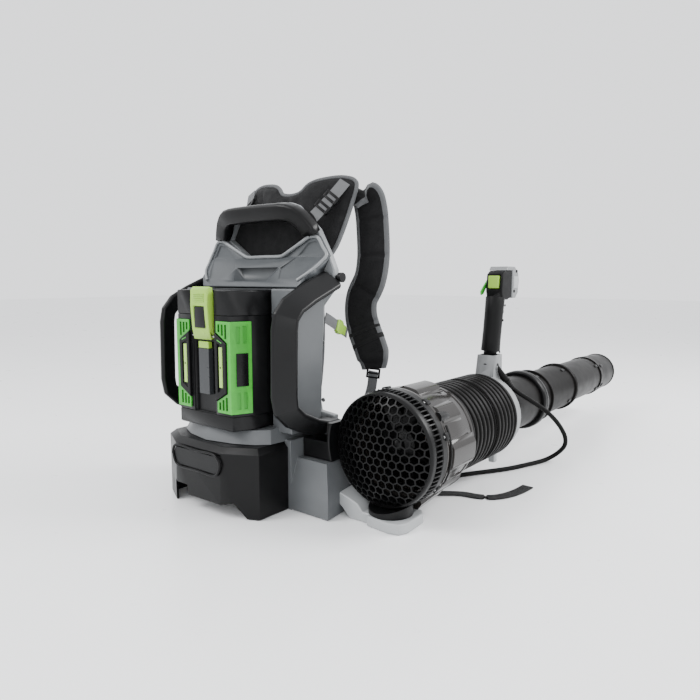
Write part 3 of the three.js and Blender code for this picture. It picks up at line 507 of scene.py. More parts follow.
def bevelled(mesh, offset, segments, angle):
    """The mesh with its edges rounded, or None where the rounding would fold over itself."""
    before = bmesh.new()
    before.from_mesh(mesh)
    bmesh.ops.dissolve_limit(before, angle_limit=math.radians(1.5), verts=before.verts, edges=before.edges)
    bmesh.ops.connect_verts_concave(before, faces=before.faces)
    form = before.copy()
    skin = BVHTree.FromBMesh(before)
    before.free()
    sharp = [e for e in form.edges if e.is_manifold and e.calc_face_angle(0) > math.radians(angle)]
    bmesh.ops.bevel(form, geom=sharp, offset=offset * MM, segments=segments, profile=0.5,
                    affect="EDGES", clamp_overlap=False)
    pieces = form.copy()
    bmesh.ops.triangulate(pieces, faces=pieces.faces)
    pieces.normal_update()
    folded = 0.0
    for face in pieces.faces:
        _, normal, _, gap = skin.find_nearest(face.calc_center_median())
        if gap > offset * MM or (gap < 1e-5 and normal.dot(face.normal) < 0):
            folded += face.calc_area()
    pieces.free()
    if folded > 2e-6:
        form.free()
        return None
    rounded = bpy.data.meshes.new(mesh.name)
    form.to_mesh(rounded)
    form.free()
    return rounded


def refined(node, finish, bevel=1.0, segments=2, angle=32, cutters=()):
    """A CAD node's own shape with its edges rounded."""
    mesh = bpy.data.meshes.new(node + "_shape")
    weld(NODES[node].data, mesh, 2e-5)
    piece = placed(node + "_shape", mesh, finish)
    if cutters:
        carve(piece, cutters)
    for share in (1, 0.6, 0.35):
        rounded = bevelled(piece.data, bevel * share, segments, angle)
        if rounded:
            piece.data = rounded
            break
    piece.data.materials.clear()
    piece.data.materials.append(MATERIALS[finish])
    finish_mesh(piece.data, 50)
    level = piece.modifiers.new("normals", "WEIGHTED_NORMAL")
    level.keep_sharp = True
    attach(piece, NODES[node]["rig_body"])
    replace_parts(piece, node)
    return piece


# ---- cords

CABLE_ROUTE = [
    (334, 431, 200), (341, 440, 187), (354, 453, 172), (373, 472, 155), (396, 500, 131), (411, 523, 107),
    (420, 541, 84), (424, 555, 62), (420, 564, 41), (405, 563, 21), (388, 547, 8), (378, 520, 5.5),
    (366, 484, 5.5), (348, 436, 5.5), (322, 388, 5.5), (300, 351, 5.5), (283, 318, 5.5), (273, 282, 5.5),
    (269, 248, 6.5), (271, 218, 11), (276, 194, 19), (281, 176, 27), (284, 161, 31.5)]
CABLE_RADIUS = 0.005

WAIST_ROUTE = [
    (184, 164, 200), (184, 166, 150), (184, 168, 100), (190, 172, 50), (210, 178, 16), (240, 187, 3),
    (282, 198, 2), (337, 234, 2), (366, 240, 2), (390, 251, 2), (408, 278, 2), (418, 316, 2), (421, 356, 2)]


def make_cable():
    """A fine-ribbed conduit from handle to fan housing, in three lengths split at two points along it."""
    rib = 0.0026
    ribs = round(path_length(curve_points(CABLE_ROUTE, 40)) / rib)
    fine = curve_points(CABLE_ROUTE, ribs * 4)
    boot = round(len(fine) * 0.04)
    strain_relief("handle_boot", fine[:boot], "handle")
    strain_relief("port_boot", fine[-boot:][::-1], "pack")

    def nearest(place):
        return min(range(len(fine)), key=lambda i: (fine[i] - Vector(place)).length)

    upper, lower = nearest((0.404, 0.512, 0.119)), nearest((0.36, 0.466, 0.0055))
    cable_length("conduit_upper", fine[:upper + 1])
    middle = cable_length("conduit_middle", fine[upper:lower + 1])
    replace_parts(middle, "control_cable")
    cable_length("conduit_lower", fine[lower:])


def cable_length(name, line):
    """One length of ribbed conduit between start and end."""
    wave = (1.0, 0.99, 0.9, 0.99)
    aside = (0.3, -0.2, 1) if line[0].z > 0.05 else (0, 0, 1)
    rings = []
    for i, (at, wide, out) in enumerate(frames(line, lambda s: aside)):
        rings.append([at + wide * u + out * v for u, v in circle(CABLE_RADIUS * wave[i % 4], 14)])
    piece = make(name, *loft(rings), "rubber", None, 60)
    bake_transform(piece)
    spine = line[::4] if (len(line) - 1) % 4 == 0 else [*line[::4], line[-1]]
    tuple(line[0])
    path_length(spine)
    [tuple(p) for p in spine]
    return piece


def make_waist_strap():
    path = curve_points(WAIST_ROUTE, 60)
    verts, faces, weave = sweep(path, lambda s: flat_section(0.012), lambda s: (-0.5 + s * 1.4, 1 - s, 0))
    low = 0.0006
    verts = [Vector((v.x, v.y, max(v.z, low + (v.z + 0.002) * 0.05))) for v in verts]
    strap = make("waist_webbing", verts, faces, "black_tape", "pack", 40, weave)
    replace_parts(strap, "waist_strap")
    tuple(path[0])
    path_length(path)
    [tuple(p) for p in path]


def flat_section(half, thick=0.0011):
    """Across and out of a tape with soft edges."""
    over = [(half, 0), (half * 0.96, thick * 0.8), (half * 0.85, thick), (0, thick),
            (-half * 0.85, thick), (-half * 0.96, thick * 0.8)]
    return [(-u, -v) for u, v in over] + over


# ---- rigid parts

def plain(node, finish):
    """A CAD node as it is, with a better material."""
    data = NODES[node].data
    data.materials.clear()
    data.materials.append(MATERIALS[finish])


def dress_pack():
    for row in (
        ("chassis", "shell", 1.6), ("base_cowl", "black", 1.6), ("badge_plate", "dark", 0.6),
        ("upper_housing", "housing", 1.8, 3), ("carry_handle", "black", 1.5, 2, 20),
        ("back_shell", "trim", 1.5), ("guard_bar_left", "dark", 2.2, 3, 20),
        ("guard_bar_right", "dark", 2.2, 3, 20),
        ("blower_bracket", "dark", 1.2), ("hook_peg", "dark", 0.8), ("foot_arm", "silver", 1.4),
        ("blower_foot", "silver", 1.4), ("fan_collar", "black", 0.8),
    ):
        refined(*row)
    plain("controller_box", "cells")
    plain("terminal_block", "copper")
    plain("bay_rail_left", "black")
    plain("bay_rail_right", "black")
    pack_details()


def sleeve(name, path, radii, finish, body):
    """A round piece along a path, its radius in millimetres running through a list."""
    count = 4 * (len(radii) - 1)
    line = []
    for k in range(count + 1):
        i, part = divmod(k / count * (len(path) - 1), 1)
        line.append(path[int(i)].lerp(path[min(int(i) + 1, len(path) - 1)], part))

    def section(share):
        i, part = divmod(share * (len(radii) - 1), 1)
        size = radii[int(i)] + (radii[min(int(i) + 1, len(radii) - 1)] - radii[int(i)]) * part
        return circle(size * MM, 28)

    swept(name, line, section, lambda s: (1, 0, 0), finish, 40, body)


def strain_relief(name, path, body):
    """A tapering ribbed boot round the cable where it leaves a housing."""
    radii = [8.2 - 0.26 * k - (0.9 if k % 2 else 0) for k in range(11)]
    sleeve(name, path, radii, "rubber", body)


def bar_along(name, points, radius, finish, steps):
    """A round bead on the pack, along a path in millimetres."""
    path = curve_points(points, steps)
    swept(name, path, lambda s: circle(radius * MM, 10), lambda s: (0, 1, 0.01), finish, 50)


def screw(name, at, way, radius, body, finish):
    """A button-head screw with a hexagon socket, its head facing way."""
    rings = []
    for r, lift in ((1.0, 0.0), (1.0, 0.25), (0.86, 0.45), (0.55, 0.52), (0.48, 0.52), (0.46, 0.15)):
        ring = []
        for k in range(24):
            turn = 2 * math.pi * k / 24
            near = r if r > 0.5 else r / math.cos((turn % (math.pi / 3)) - math.pi / 6)
            ring.append(Vector((near * math.cos(turn), near * math.sin(turn), lift)) * radius * MM)
        rings.append(ring)
    head = make(name, *loft(rings), finish, None, 40)
    turn = Vector(way).to_track_quat("Z", "Y").to_matrix().to_4x4()
    head.data.transform(Matrix.Translation(Vector(at) * MM) @ turn)
    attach(head, body)


WINDOW_LEDGE = [(44, 461.8), (49, 462.5), (85, 479), (121, 497)]  # x and z, from the middle out
EAR_FRAME = [(121, 37, 495), (130, 37, 496.5), (140, 37, 494), (152, 37, 477), (162, 36, 462),
             (158, 27, 451), (150, 13, 437), (138, 3, 426), (126, -4, 417)]
BADGE_FRAME = [(-68, 98), (-61.5, 112), (0, 112.4), (55, 112), (66.5, 98), (59.5, 80.5), (51, 75.8),
               (0, 75.6), (-53, 75.8), (-61.5, 82), (-68, 98)]


def pack_details():
    left = [(-x, z) for x, z in reversed(WINDOW_LEDGE)]
    ledge = [(x, 36, z) for x, z in [*left, (0, 461.8), *WINDOW_LEDGE]]
    bar_along("window_ledge", ledge, 3.6, "trim", 60)
    for side, name in SIDES:
        bar_along("ear_frame_" + name, on_side(EAR_FRAME, side), 3.0, "trim", 50)
        for z in (190, 300, 395):
            place = (side * (131 if z < 380 else 150), 60, z)
            screw(f"shell_screw_{name}_{z}", place, (0, 1, 0), 4.2, "pack", "steel")
    for k in range(7):
        x = -36 + 12 * k
        soft_box(f"shell_vent_{k}", (x, 60.4, 152), (4, 1.6, 24), "label", "pack", 0.7)
    bar_along("badge_frame", [(x, -140.4, z) for x, z in BADGE_FRAME], 2.4, "black", 90)


PANEL_TURN = math.degrees(math.atan2(39, 15))  # of the battery's angled side panels


def panel_cutters(sign):
    """The three grooves of a side panel, and the steps at its outer corners."""
    cutters = []
    for x in (45, 54, 63):
        rise = x - 37
        for low, high in ((min(346, 327 - rise * 0.62) + 5, 341), (189, 203 + rise * 0.58 - 5)):
            size = (5, 9, high - low)
            cutters.append(soft_box("slot", (sign * x, -117, (low + high) / 2), size, "dark", None))
    for along in (12, 24):
        for z in (323, 207):
            x, y = 74 + 15 * along / 41.8, -115 + 39 * along / 41.8
            cutters.append(soft_box("slot", (sign * (x + 3.1), y - 1.2, z), (6.5, 4.4, 30), "green", None,
                                    0.6, (0, 0, sign * PANEL_TURN)))
    return cutters


def dress_battery():
    refined("battery_case", "dark", 1.2)
    for side, sign in (("left", -1), ("right", 1)):
        panel = refined("side_panel_" + side, "green", 0.5, cutters=panel_cutters(sign))
        panel.name = "green_panel_" + side
        refined("light_bracket_" + side, "black", 0.6)
        for name, x, y, z, size, finish, edge, tilt, swing in (
            ("status_lamp_", 50, -118.2, 265, (9, 3, 72), "lamp", 1.2, 0, 0),
            ("lamp_dot_", 50, -119.8, 265, (3, 0.8, 3), "label", 0.35, 0, 0),
            ("bracket_edge_", 50, -121.1, 311, (13, 1.2, 2), "green", 0.5, 22, 0),
            ("case_seam_", 35.4, -115.2, 280, (0.9, 0.8, 190), "label", 0.3, 0, 0),
            ("blank_label_", 84.6, -99.2, 262, (22, 1.2, 58), "label", 0.5, 0, PANEL_TURN),
        ):
            turn = (0, sign * tilt, sign * swing)
            soft_box(name + side, (sign * x, y, z), size, finish, "battery", edge, turn)
    refined("battery_latch", "lime", 1.2)
    soft_box("latch_inset", (0, -121.9, 352), (29, 3.4, 38), "dark", "latch", 1.2)
    for k in range(5):
        soft_box(f"latch_rib_{k}", (0, -125.0, 380 + k * 3.2), (30, 1.6, 1.5), "lime", "latch", 0.6)
    refined("charge_gauge", "lime", 0.8)
    refined("channel_strip", "slate", 0.8)
    plain("latch_pin", "steel")
    plain("cell_pack", "cells")


def dress_blower():
    make_grille()
    make_intake_ring()
    make_housing()
    refined("fan_gasket", "rubber", 0.4)
    plain("stator_hub", "black")
    plain("motor", "copper")
    plain("motor_shaft", "steel")
    plain("impeller", "black")
    nose = [(0, 54), (7, 56), (12, 60), (14.5, 65.5), (0, 65.5)]
    turned("fan_nose", nose, "black", "fan", 32, whole=False)
    make_bellows()
    # painted shade: the silver clamp takes the darker silver copy
    refined("handle_clamp", "dull", 1.2)
    refined("clamp_screw", "steel", 0.5)
    tube_parts()


def dome(r):
    """How far back the grille's face is at a radius, in millimetres."""
    return -7 + 27 * (r / 100) ** 3


def make_grille():
    """A honeycomb dome inside a plain rim."""
    pitch, wall, reach = 14.6, 2.2, 97.0
    corner = pitch / math.sqrt(3)
    verts, faces = [], []
    rows = int(reach / (pitch * 0.866)) + 2
    for row in range(-rows, rows + 1):
        for column in range(-rows, rows + 1):
            cx = pitch * (column + 0.5 * (row % 2))
            cz = pitch * 0.866 * row
            if math.hypot(cx, cz) > reach + corner * 0.4:
                continue
            start = len(verts)
            for radius in (corner, corner - wall / 1.732):
                for k in range(6):
                    turn = math.pi / 6 + k * math.pi / 3
                    x, z = cx + radius * math.cos(turn), cz + radius * math.sin(turn)
                    far = math.hypot(x, z)
                    limit = reach if radius == corner else reach - wall * 0.6
                    if far > limit:
                        x, z = x * limit / far, z * limit / far
                    far = math.hypot(x, z)
                    verts.append(Vector((AXIS_X + x * MM, dome(far) * MM, AXIS_Z + z * MM)))
            for k in range(6):
                n = (k + 1) % 6
                faces.append((start + k, start + n, start + 6 + n, start + 6 + k))
    comb = make("intake_honeycomb", verts, faces, "black")
    weld(comb.data, comb.data, 2e-4)
    thick = comb.modifiers.new("depth", "SOLIDIFY")
    thick.thickness = 0.0045
    thick.offset = -1
    applied(comb)
    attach(comb, "pack")
    rim = [(95.5, 16.2), (98, 17), (99.4, 19), (100, 21.5), (100, 29), (90, 29), (94, 20)]
    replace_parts(turned("intake_rim", rim, "black", "pack"), "intake_grille")


def make_intake_ring():
    """The band behind the grille: ribs with dark slots between them."""
    band = [(90, 29.4), (95.5, 29.4), (95.5, 32), (94.5, 33), (94.5, 46), (100.5, 46.6), (102, 48),
            (102, 60), (90, 60)]
    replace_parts(turned("intake_band", band, "black", "pack"), "intake_ring")
    ribs = 72
    outline = ((94, 27, 1.3), (99.6, 27, 1.1), (101.6, 32, 1.1), (101.8, 47, 1.1), (94, 47, 1.3))
    verts, faces = [], []
    for k in range(ribs):
        turn = 2 * math.pi * (k + 0.5) / ribs
        side = Vector((-math.sin(turn), 0, math.cos(turn)))
        start = len(verts)
        for r, y, half in outline:
            verts += [around(r, turn, y) - side * (half * MM), around(r, turn, y) + side * (half * MM)]
        for n in range(5):
            a, b = start + 2 * n, start + 2 * ((n + 1) % 5)
            faces.append((a, b, b + 1, a + 1))
        faces.append(tuple(start + 2 * n for n in range(5)))
        faces.append(tuple(start + 2 * n + 1 for n in reversed(range(5))))
    make("intake_ribs", verts, faces, "black", "pack")


def curved_slab(name, low, high, angles, span):
    """A raised panel on the barrel, between two angles in degrees and two places on the axis."""
    steps, lip = 16, 3.0
    first, last = span
    start, stop = angles
    turns = [math.radians(start + (stop - start) * k / steps) for k in range(steps + 1)]
    rings = []
    for y, rise in ((first, 0.0), (first + lip, 1.0), (last - lip, 1.0), (last, 0.0)):
        edge = [min(1.0, min(k, steps - k) * 0.8 / lip) * rise for k in range(steps + 1)]
        ring = [around(low + (high - low) * share, turn, y) for share, turn in zip(edge, turns)]
        rings.append(ring + [around(low - 2.5, turn, y) for turn in reversed(turns)])
    make(name, *loft(rings), "smoke", "pack", 28)


def lug(name, radius, turn, y, size, body, edge):
    """A small block that stands on the blower at a turn in degrees."""
    turn = math.radians(turn)
    block = soft_box(name, (0, 0, 0), size, "black", None, edge)
    block.data.transform(Matrix.Translation(around(radius, turn, y)) @ Matrix.Rotation(-turn, 4, "Y"))
    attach(block, body)


def make_housing():
    """The smoky barrel with its raised panels, keel and ports."""
    barrel = [(84, 60.4), (101.2, 60.4), (102, 61.4), (102, 67.5), (101, 68.6), (98.8, 70), (98, 84),
              (97.6, 110), (96.6, 128), (94, 146), (92.4, 160), (92, 164), (93.2, 165), (93.2, 171),
              (92, 172), (84, 172)]
    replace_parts(turned("housing_barrel", barrel, "smoke", "pack"), "fan_housing")
    for name, low, high, angles, span in (
        ("side", 97.5, 105, (-22, 12), (76, 158)), ("top", 97.5, 104.5, (66, 96), (72, 150)),
        ("shoulder", 97, 102.5, (28, 52), (72, 136)), ("inner", 97.5, 105, (168, 202), (78, 158)),
        ("lower", 97, 102, (-58, -34), (80, 150)), ("rear", 97, 102, (112, 140), (74, 140)),
    ):
        curved_slab("housing_panel_" + name, low, high, angles, span)
    for k, turn in enumerate((18, 56, 104, 160, 208, 322)):
        lug(f"housing_lug_{k}", 100, turn, 64.5, (9, 12, 14), "pack", 2.0)
        place = around(100, math.radians(turn), 58.4) / MM
        screw(f"housing_screw_{k}", place, (0, -1, 0), 3.0, "pack", "steel")
    keel_rings = [
        [(264, 66, 22), (342, 66, 22), (336, 140, 24), (268, 140, 24)],
        [(256, 62.5, 34), (352, 62.5, 34), (348, 150, 40), (258, 150, 40)],
        [(252, 62.5, 45), (348, 62.5, 45), (342, 150, 45), (258, 150, 45)],
    ]
    keel = make("housing_keel", *loft([[Vector(p) * MM for p in ring] for ring in keel_rings]), "smoke")
    keel.data = bevelled(keel.data, 3.0, 3, 12) or keel.data
    finish_mesh(keel.data, 50)
    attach(keel, "pack")
    for name, start, stop, radii in (
        ("housing_boss", (378, 64, 190), (378, 94, 188), (9.5, 9.5, 9, 7.5)),
        ("cable_port", (284, 136, 38.5), (284, 160.5, 32), (8.5, 8, 8, 7.6)),
    ):
        sleeve(name, [Vector(start) * MM, Vector(stop) * MM], radii, "black", "pack")


def bellows_profile():
    """Outer line of the bellows as (radius, y): rounded ribs with narrow grooves."""
    start, end, ribs, crest, root = 173.5, 373.5, 13, 89.0, 80.5
    pitch = (end - start) / ribs
    line = []
    for k in range(ribs):
        y = start + k * pitch
        for share, height in ((0.0, 0.0), (0.1, 0.08), (0.2, 0.75), (0.27, 0.95), (0.36, 1.0),
                              (0.64, 1.0), (0.73, 0.95), (0.8, 0.75), (0.9, 0.08)):
            line.append((root + (crest - root) * height, y + share * pitch))
    line.append((root, end))
    return line


def make_bellows():
    """The bellows in two halves, split where FLEX lies along the axis."""
    line = bellows_profile()
    middle = FLEX.y / MM
    rear = [p for p in line if p[1] <= middle + 0.2]
    front = [p for p in line if p[1] >= middle - 0.2]
    bore = 77.0
    for name, part, bodies, start, end in (
        ("bellows_rear", rear, ("pack", "flex"), 0.172, 0.274),
        ("bellows_front", front, ("flex", "tube"), 0.274, 0.376),
    ):
        inner = [(bore, y) for _, y in reversed(part[::6])]
        half = turned(name, [*part, *inner], "rubber", None)
        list(bodies)
        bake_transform(half)
        if name == "bellows_rear":
            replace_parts(half, "bellows")


def tube_parts():
    for node, finish, body, profile in (
        ("rear_tube", "tube", "tube", [
            (60, 378.4), (60, 560), (60.3, 563), (60.3, 632), (61, 634), (65, 635), (65.5, 637),
            (65.5, 641), (64, 643), (57.5, 643), (57.5, 378.4)]),
        ("lock_ring", "black", "lock", [
            (60.5, 571.2), (66, 571.2), (68, 572.5), (69.3, 575), (70, 579), (70, 583), (68.2, 584.5),
            (70, 586), (70, 591), (69, 595), (66.5, 597), (60.5, 597)]),
        ("mid_tube", "tube", "extension", [
            (57, 560), (57, 808), (57.6, 810), (61.5, 811), (62.5, 813), (62.5, 818), (61.2, 819.5),
            (62.3, 821), (62, 824), (54.5, 824), (54.5, 560)]),
        ("front_tube", "tube", "extension", [(54, 760), (54, 1058), (51.5, 1058), (51.5, 760)]),
        ("nozzle", "tube", "outlet", [
            (54.5, 1042), (57, 1042), (57, 1048), (56, 1050), (56, 1064), (52.5, 1160), (52.2, 1173),
            (53.6, 1174.5), (54, 1178), (53.6, 1181.5), (52, 1182), (49.5, 1181.5), (49.5, 1172),
            (51, 1059), (54.5, 1058.6)]),
    ):
        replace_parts(turned(node + "_skin", profile, finish, body), node)


def tube_bosses():
    """Small locating lugs beside each joint of the tube."""
    for name, radius, y, turns, body in (
        ("rear", 60.4, 615, (-28, 62, 152), "tube"), ("middle", 57.2, 790, (-30, 60, 150), "extension"),
        ("front", 54.2, 1030, (-34, 40, 146), "extension"), ("tip", 55.6, 1066, (-25, 35, 155), "outlet"),
    ):
        for k, turn in enumerate(turns):
            lug(f"tube_lug_{name}_{k}", radius, turn, y, (5, 18, 9), body, 1.8)


def dress_handle():
    tube_bosses()
    neck = [Vector((0.3, 0.415, 0.222)), Vector((0.3, 0.417, 0.24))]
    sleeve("grip_collar", neck, (12, 18, 21, 19.5), "black", "handle")
    soft_box("clamp_lug", (322, 399, 35), (15, 13, 22), "silver", "handle", 3.0)
    for k, (y, z) in enumerate(((424, 262), (436, 330), (444, 362))):
        screw(f"grip_screw_{k}", (319.6, y, z), (1, 0, 0), 2.6, "handle", "label")
    for k, (y, z) in enumerate(((486, 392), (497, 436))):
        screw(f"cap_screw_{k}", (321, y, z), (1, 0, 0), 3.4, "handle", "label")
    # painted light: the head cap takes the darker silver copy for its shaded side, and this plate on it the
    # lighter silver for its lit face
    soft_box("cap_panel", (321.2, 494, 412), (1.6, 22, 26), "silver", "handle", 0.7)
    for row in (
        ("grip", "soft", 1.2, 2, 25), ("head_cap", "dull", 1.4), ("trigger", "black", 0.8),
        ("boost_button", "lime", 1.5, 3), ("cruise_lever", "green", 0.8), ("cable_gland", "rubber", 0.6),
    ):
        refined(*row)


# ---- harness

STRAP_ROUTE = [
    (130, 150, 563), (137, 159, 578), (144, 167, 585), (150, 173, 578), (155, 177, 556), (159, 178, 517),
    (162, 176, 458), (157, 172, 418), (140, 168, 380), (141, 164, 348), (152, 161, 318), (168, 157, 290),
    (180, 154, 265), (184, 151, 244)]
STRAP_HALF, STRAP_THICK = 0.034, 0.0072
LOWER_ROUTE = [
    (184, 149, 240), (181, 146, 205), (172, 138, 172), (158, 122, 142), (142, 104, 122), (127, 88.5, 114)]
LIFTER_ROUTE = [
    (97, 65, 530), (102, 78, 543), (108, 92, 558), (116, 105, 574), (124, 117, 590), (131, 126.5, 604)]
SIDE_ROUTE = [(132, 66, 347), (131, 80, 341), (129, 105, 329), (126, 130, 317), (124, 140, 312)]


def on_side(route, side):
    return [(side * x, y, z) for x, y, z in route]


def pad_height(u, half, thick):
    return thick * math.sqrt(max(0.0, 1 - min(1.0, abs(u) / half) ** 3.5))


def pad_section(half, thick, count=14):
    """A crowned closed outline of (across, out)."""
    across = [-half * math.cos(math.pi * k / count) for k in range(count + 1)]
    over = [(u, pad_height(u, half, thick)) for u in across]
    under = [(u, -pad_height(u, half, thick)) for u in reversed(across[1:-1])]
    return over + under


def binding_section(half, thick, sign, wide=0.008, skin=0.0009):
    """A folded tape round one edge of a pad."""
    inner = half - wide
    marks = [inner + wide * k / 6 for k in range(7)]
    outer = [(u, pad_height(u, half, thick) + skin) for u in marks] + [(half + skin, 0)]
    outer += [(u, -pad_height(u, half, thick) - skin) for u in reversed(marks)]
    under = [(u - skin * 0.5, -pad_height(u, half, thick) * 0.9) for u in marks[:-1]]
    back = [(u - skin * 0.5, pad_height(u, half, thick) * 0.9) for u in reversed(marks[:-1])]
    return [(sign * u, v) for u, v in outer + under + back]


def shoulder_strap(side, name):
    steps = 180
    path = curve_points(on_side(STRAP_ROUTE, side), steps)
    length = path_length(path)
    seams = (0.22, 0.4, 0.58, 0.76, 0.97)

    def thick(share):
        pinch = sum(math.exp(-((share - seam) * length / 0.0045) ** 2) for seam in seams)
        end = min(1.0, 0.35 + 14 * share, 0.3 + 16 * (1 - share))
        return STRAP_THICK * end * (1 - 0.5 * min(1.0, pinch))

    def half(share):
        return STRAP_HALF * min(1.0, 0.45 + 6 * share, 0.72 + 4 * (1 - share))

    def across(share):
        return (1, 0.25 * side, 0)

    pad = swept("shoulder_pad_" + name, path, lambda s: pad_section(half(s), thick(s)), across, "knit", 60)
    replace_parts(pad, "shoulder_strap_" + name)
    for edge, sign in (("outer", side), ("inner", -side)):
        def fold(share):
            return binding_section(half(share), max(thick(share), 0.004), sign)

        swept(f"strap_binding_{name}_{edge}", path, fold, across, "binding", 60)
    for k, at in enumerate((0.80, 0.86)):
        low, high = int((at - 0.011) * steps), int((at + 0.011) * steps)
        loop = pad_section(half(at) + 0.0012, STRAP_THICK + 0.0014)
        swept(f"strap_loop_{name}_{k}", path[low:high + 1], lambda s: loop, across, "black_tape", 50)


def bound_outline(points, spacing=4.0):
    """An outline in millimetres resampled evenly, with its corners softened."""
    ring = [Vector((x, 0, z)) for x, z in points]
    for _ in range(2):
        ring = [p.lerp(q, t) for p, q in zip(ring, ring[1:] + ring[:1]) for t in (0.22, 0.78)]
    ring.append(ring[0])
    return evenly(ring, int(path_length(ring) / spacing))[:-1]


def edge_distance(x, z, ring):
    best = 1e9
    for a, b in zip(ring, ring[1:] + ring[:1]):
        dx, dz = b.x - a.x, b.z - a.z
        t = max(0.0, min(1.0, ((x - a.x) * dx + (z - a.z) * dz) / (dx * dx + dz * dz)))
        best = min(best, math.hypot(x - a.x - dx * t, z - a.z - dz * t))
    return best


def stuffed_panel(name, outline, half_thick, place, finish, channels=(), grid=6.0):
    """A stuffed flat pad: crowned on both faces, drawn in at its edge and along its sewn channels."""
    ring = bound_outline(outline)
    low_x, high_x = min(p.x for p in ring), max(p.x for p in ring)
    low_z, high_z = min(p.z for p in ring), max(p.z for p in ring)
    flat = [Vector((p.x, p.z)) for p in ring]
    for row in range(math.ceil((high_z - low_z) / grid - 0.5)):
        for column in range(math.ceil((high_x - low_x) / grid - 0.5)):
            x, z = low_x + (column + 0.5) * grid, low_z + (row + 0.5) * grid
            if edge_distance(x, z, ring) > grid * 0.4:
                flat.append(Vector((x, z)))
    spots, _, tris, *_ = delaunay_2d_cdt(flat, [], [list(range(len(ring)))], 1, 1e-5)
    verts, index = [], {}
    for side in (1, -1):
        for i, spot in enumerate(spots):
            far = edge_distance(spot.x, spot.y, ring)
            if far < 0.01 and side < 0:
                index[(i, side)] = index[(i, 1)]
                continue
            swell = math.sqrt(1 - (1 - min(1.0, far / 16)) ** 2)
            for cx, cz, turn, reach in channels:
                off = abs((spot.x - cx) * math.sin(turn) - (spot.y - cz) * math.cos(turn))
                along = abs((spot.x - cx) * math.cos(turn) + (spot.y - cz) * math.sin(turn))
                if along < reach:
                    swell *= 1 - 0.55 * math.exp(-(off / 4.5) ** 2)
            index[(i, side)] = len(verts)
            verts.append(place(spot.x, spot.y, side * half_thick * swell))
    faces = [tuple(index[(i, 1)] for i in tri) for tri in tris]
    faces += [tuple(index[(i, -1)] for i in reversed(tri)) for tri in tris]
    panel = make(name, verts, faces, finish, "pack", 60)
    return panel, ring


def piping(name, ring, place, radius):
    """A round edging along an outline."""
    path = [place(p.x, p.z, 0) for p in [*ring, *ring[:2]]]
    swept(name, path, lambda s: circle(radius, 8), lambda s: (0, 1, 0.001), "binding", 60, caps=False)


YOKE_EDGE = [
    (26, 590), (40, 606), (60, 613), (105, 617), (132, 613), (146, 603), (141, 558), (135, 515), (127, 478),
    (112, 453)]


def yoke_place(x, z, out):
    y = 73 - out + 0.3 * (z - 452) + 30 * (x / 146) ** 2
    return Vector((x, y, z)) * MM


def make_yoke():
    outline = [(0, 586), *YOKE_EDGE, *[(-x, z) for x, z in reversed(YOKE_EDGE)]]
    channels = [(0, 520, math.pi / 2, 60), (70, 545, 1.1, 60), (-70, 545, math.pi - 1.1, 60)]
    panel, ring = stuffed_panel("yoke_pad", outline, 8.5, yoke_place, "knit", channels)
    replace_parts(panel, "shoulder_yoke")
    piping("yoke_binding", ring, yoke_place, 0.0044)


def upright(y):
    """Places the points of a flat pad that stands across the pack at y."""
    return lambda x, z, out: Vector((x, y - out, z)) * MM


def make_back_pad():
    outline = [(-112, 190), (-90, 177), (90, 177), (112, 190), (124, 300), (120, 400), (104, 447),
               (-104, 447), (-120, 400), (-124, 300)]
    channels = [(0, 310, math.pi / 2, 400), (0, 255, 0, 400), (0, 370, 0, 400)]
    panel, ring = stuffed_panel("lumbar_pad", outline, 11, upright(71.5), "knit", channels)
    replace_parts(panel, "back_pad")
    piping("lumbar_binding", ring, upright(71.5), 0.003)


def make_neck_pad():
    """The smooth pad that shows through the window under the carry handle."""
    outline = [(-118, 470), (-100, 453), (100, 453), (118, 470), (126, 505), (104, 545), (60, 556),
               (-60, 556), (-104, 545), (-126, 505)]
    stuffed_panel("neck_pad", outline, 2.4, upright(63.2), "nylon", grid=10.0)


def webbing(name, route, half, across, node):
    path = curve_points(route, 40)
    strap = swept(name, path, lambda s: flat_section(half), lambda s: across, "grey_tape", 40)
    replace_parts(strap, node)
    return path


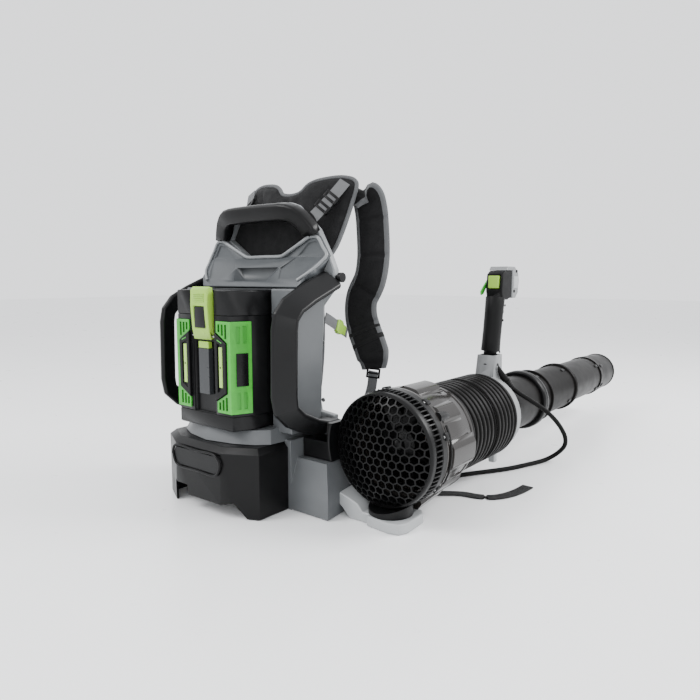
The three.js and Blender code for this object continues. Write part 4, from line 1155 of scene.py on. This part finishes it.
def buckle(name, path, i, wide, size, bars=3, bar=3.2):
    """A moulded slide on a strap: side rails and cross bars."""
    width, height = size
    along, wide = (path[i + 1] - path[i - 1]).normalized(), Vector(wide).normalized()
    turn = Matrix((wide, along, along.cross(wide).normalized())).transposed().to_4x4()
    parts = []
    for k in range(bars):
        y = (k / (bars - 1) - 0.5) * (height - bar)
        parts.append(soft_box("bar", (0, y, 0), (width, bar, bar + 0.6), "black", None, 1.1))
    for x in (-(width - bar) / 2, (width - bar) / 2):
        parts.append(soft_box("rail", (x, 0, 0), (bar, height, bar + 1), "black", None, 1.1))
    joined(name, parts, Matrix.Translation(path[i]) @ turn)


def side_clip(path, i, across):
    """The two-part clip on the side strap, with a squeeze tab at each side."""
    at, wide, out = list(frames(path, lambda s: across))[i]
    turn = Matrix((wide, wide.cross(out), out)).transposed().to_4x4()
    parts = []
    for place, size, edge in (
        ((0, -6, 0), (25, 21, 8), 2.2), ((0, 10, 0), (20, 14, 6), 1.8),
        ((12.2, -6, 0), (3.4, 12, 9), 1.4), ((-12.2, -6, 0), (3.4, 12, 9), 1.4),
    ):
        parts.append(soft_box("part", place, size, "lime", None, edge))
    joined("side_clip", parts, Matrix.Translation(at) @ turn)


def make_webbing():
    for side, name in SIDES:
        slant = (0.8, 0.1, -0.6 * side)
        route = on_side(LIFTER_ROUTE, side)
        path = webbing("lifter_webbing_" + name, route, 0.0125, slant, "lifter_strap_" + name)
        for k, share in enumerate((0.36, 0.6)):
            buckle(f"triglide_{name}_{k}", path, int(share * 40), slant, (33, 17), 2, 5.4)
        route = on_side(LOWER_ROUTE, side)
        path = webbing("lower_webbing_" + name, route, 0.0115, (1, 0, 0), "lower_strap_" + name)
        buckle("strap_lock_" + name, path, 1, (1, 0, 0), (32, 20))
    slant = (0, -0.35, 1)
    path = webbing("side_webbing", SIDE_ROUTE, 0.0105, slant, "side_strap")
    side_clip(path, int(0.68 * 40), slant)


make_camera()
make_studio()
make_cable()
make_waist_strap()
dress_pack()
dress_battery()
dress_blower()
dress_handle()
for strap_side, strap_name in SIDES:
    shoulder_strap(strap_side, strap_name)
make_yoke()
make_back_pad()
make_neck_pad()
make_webbing()
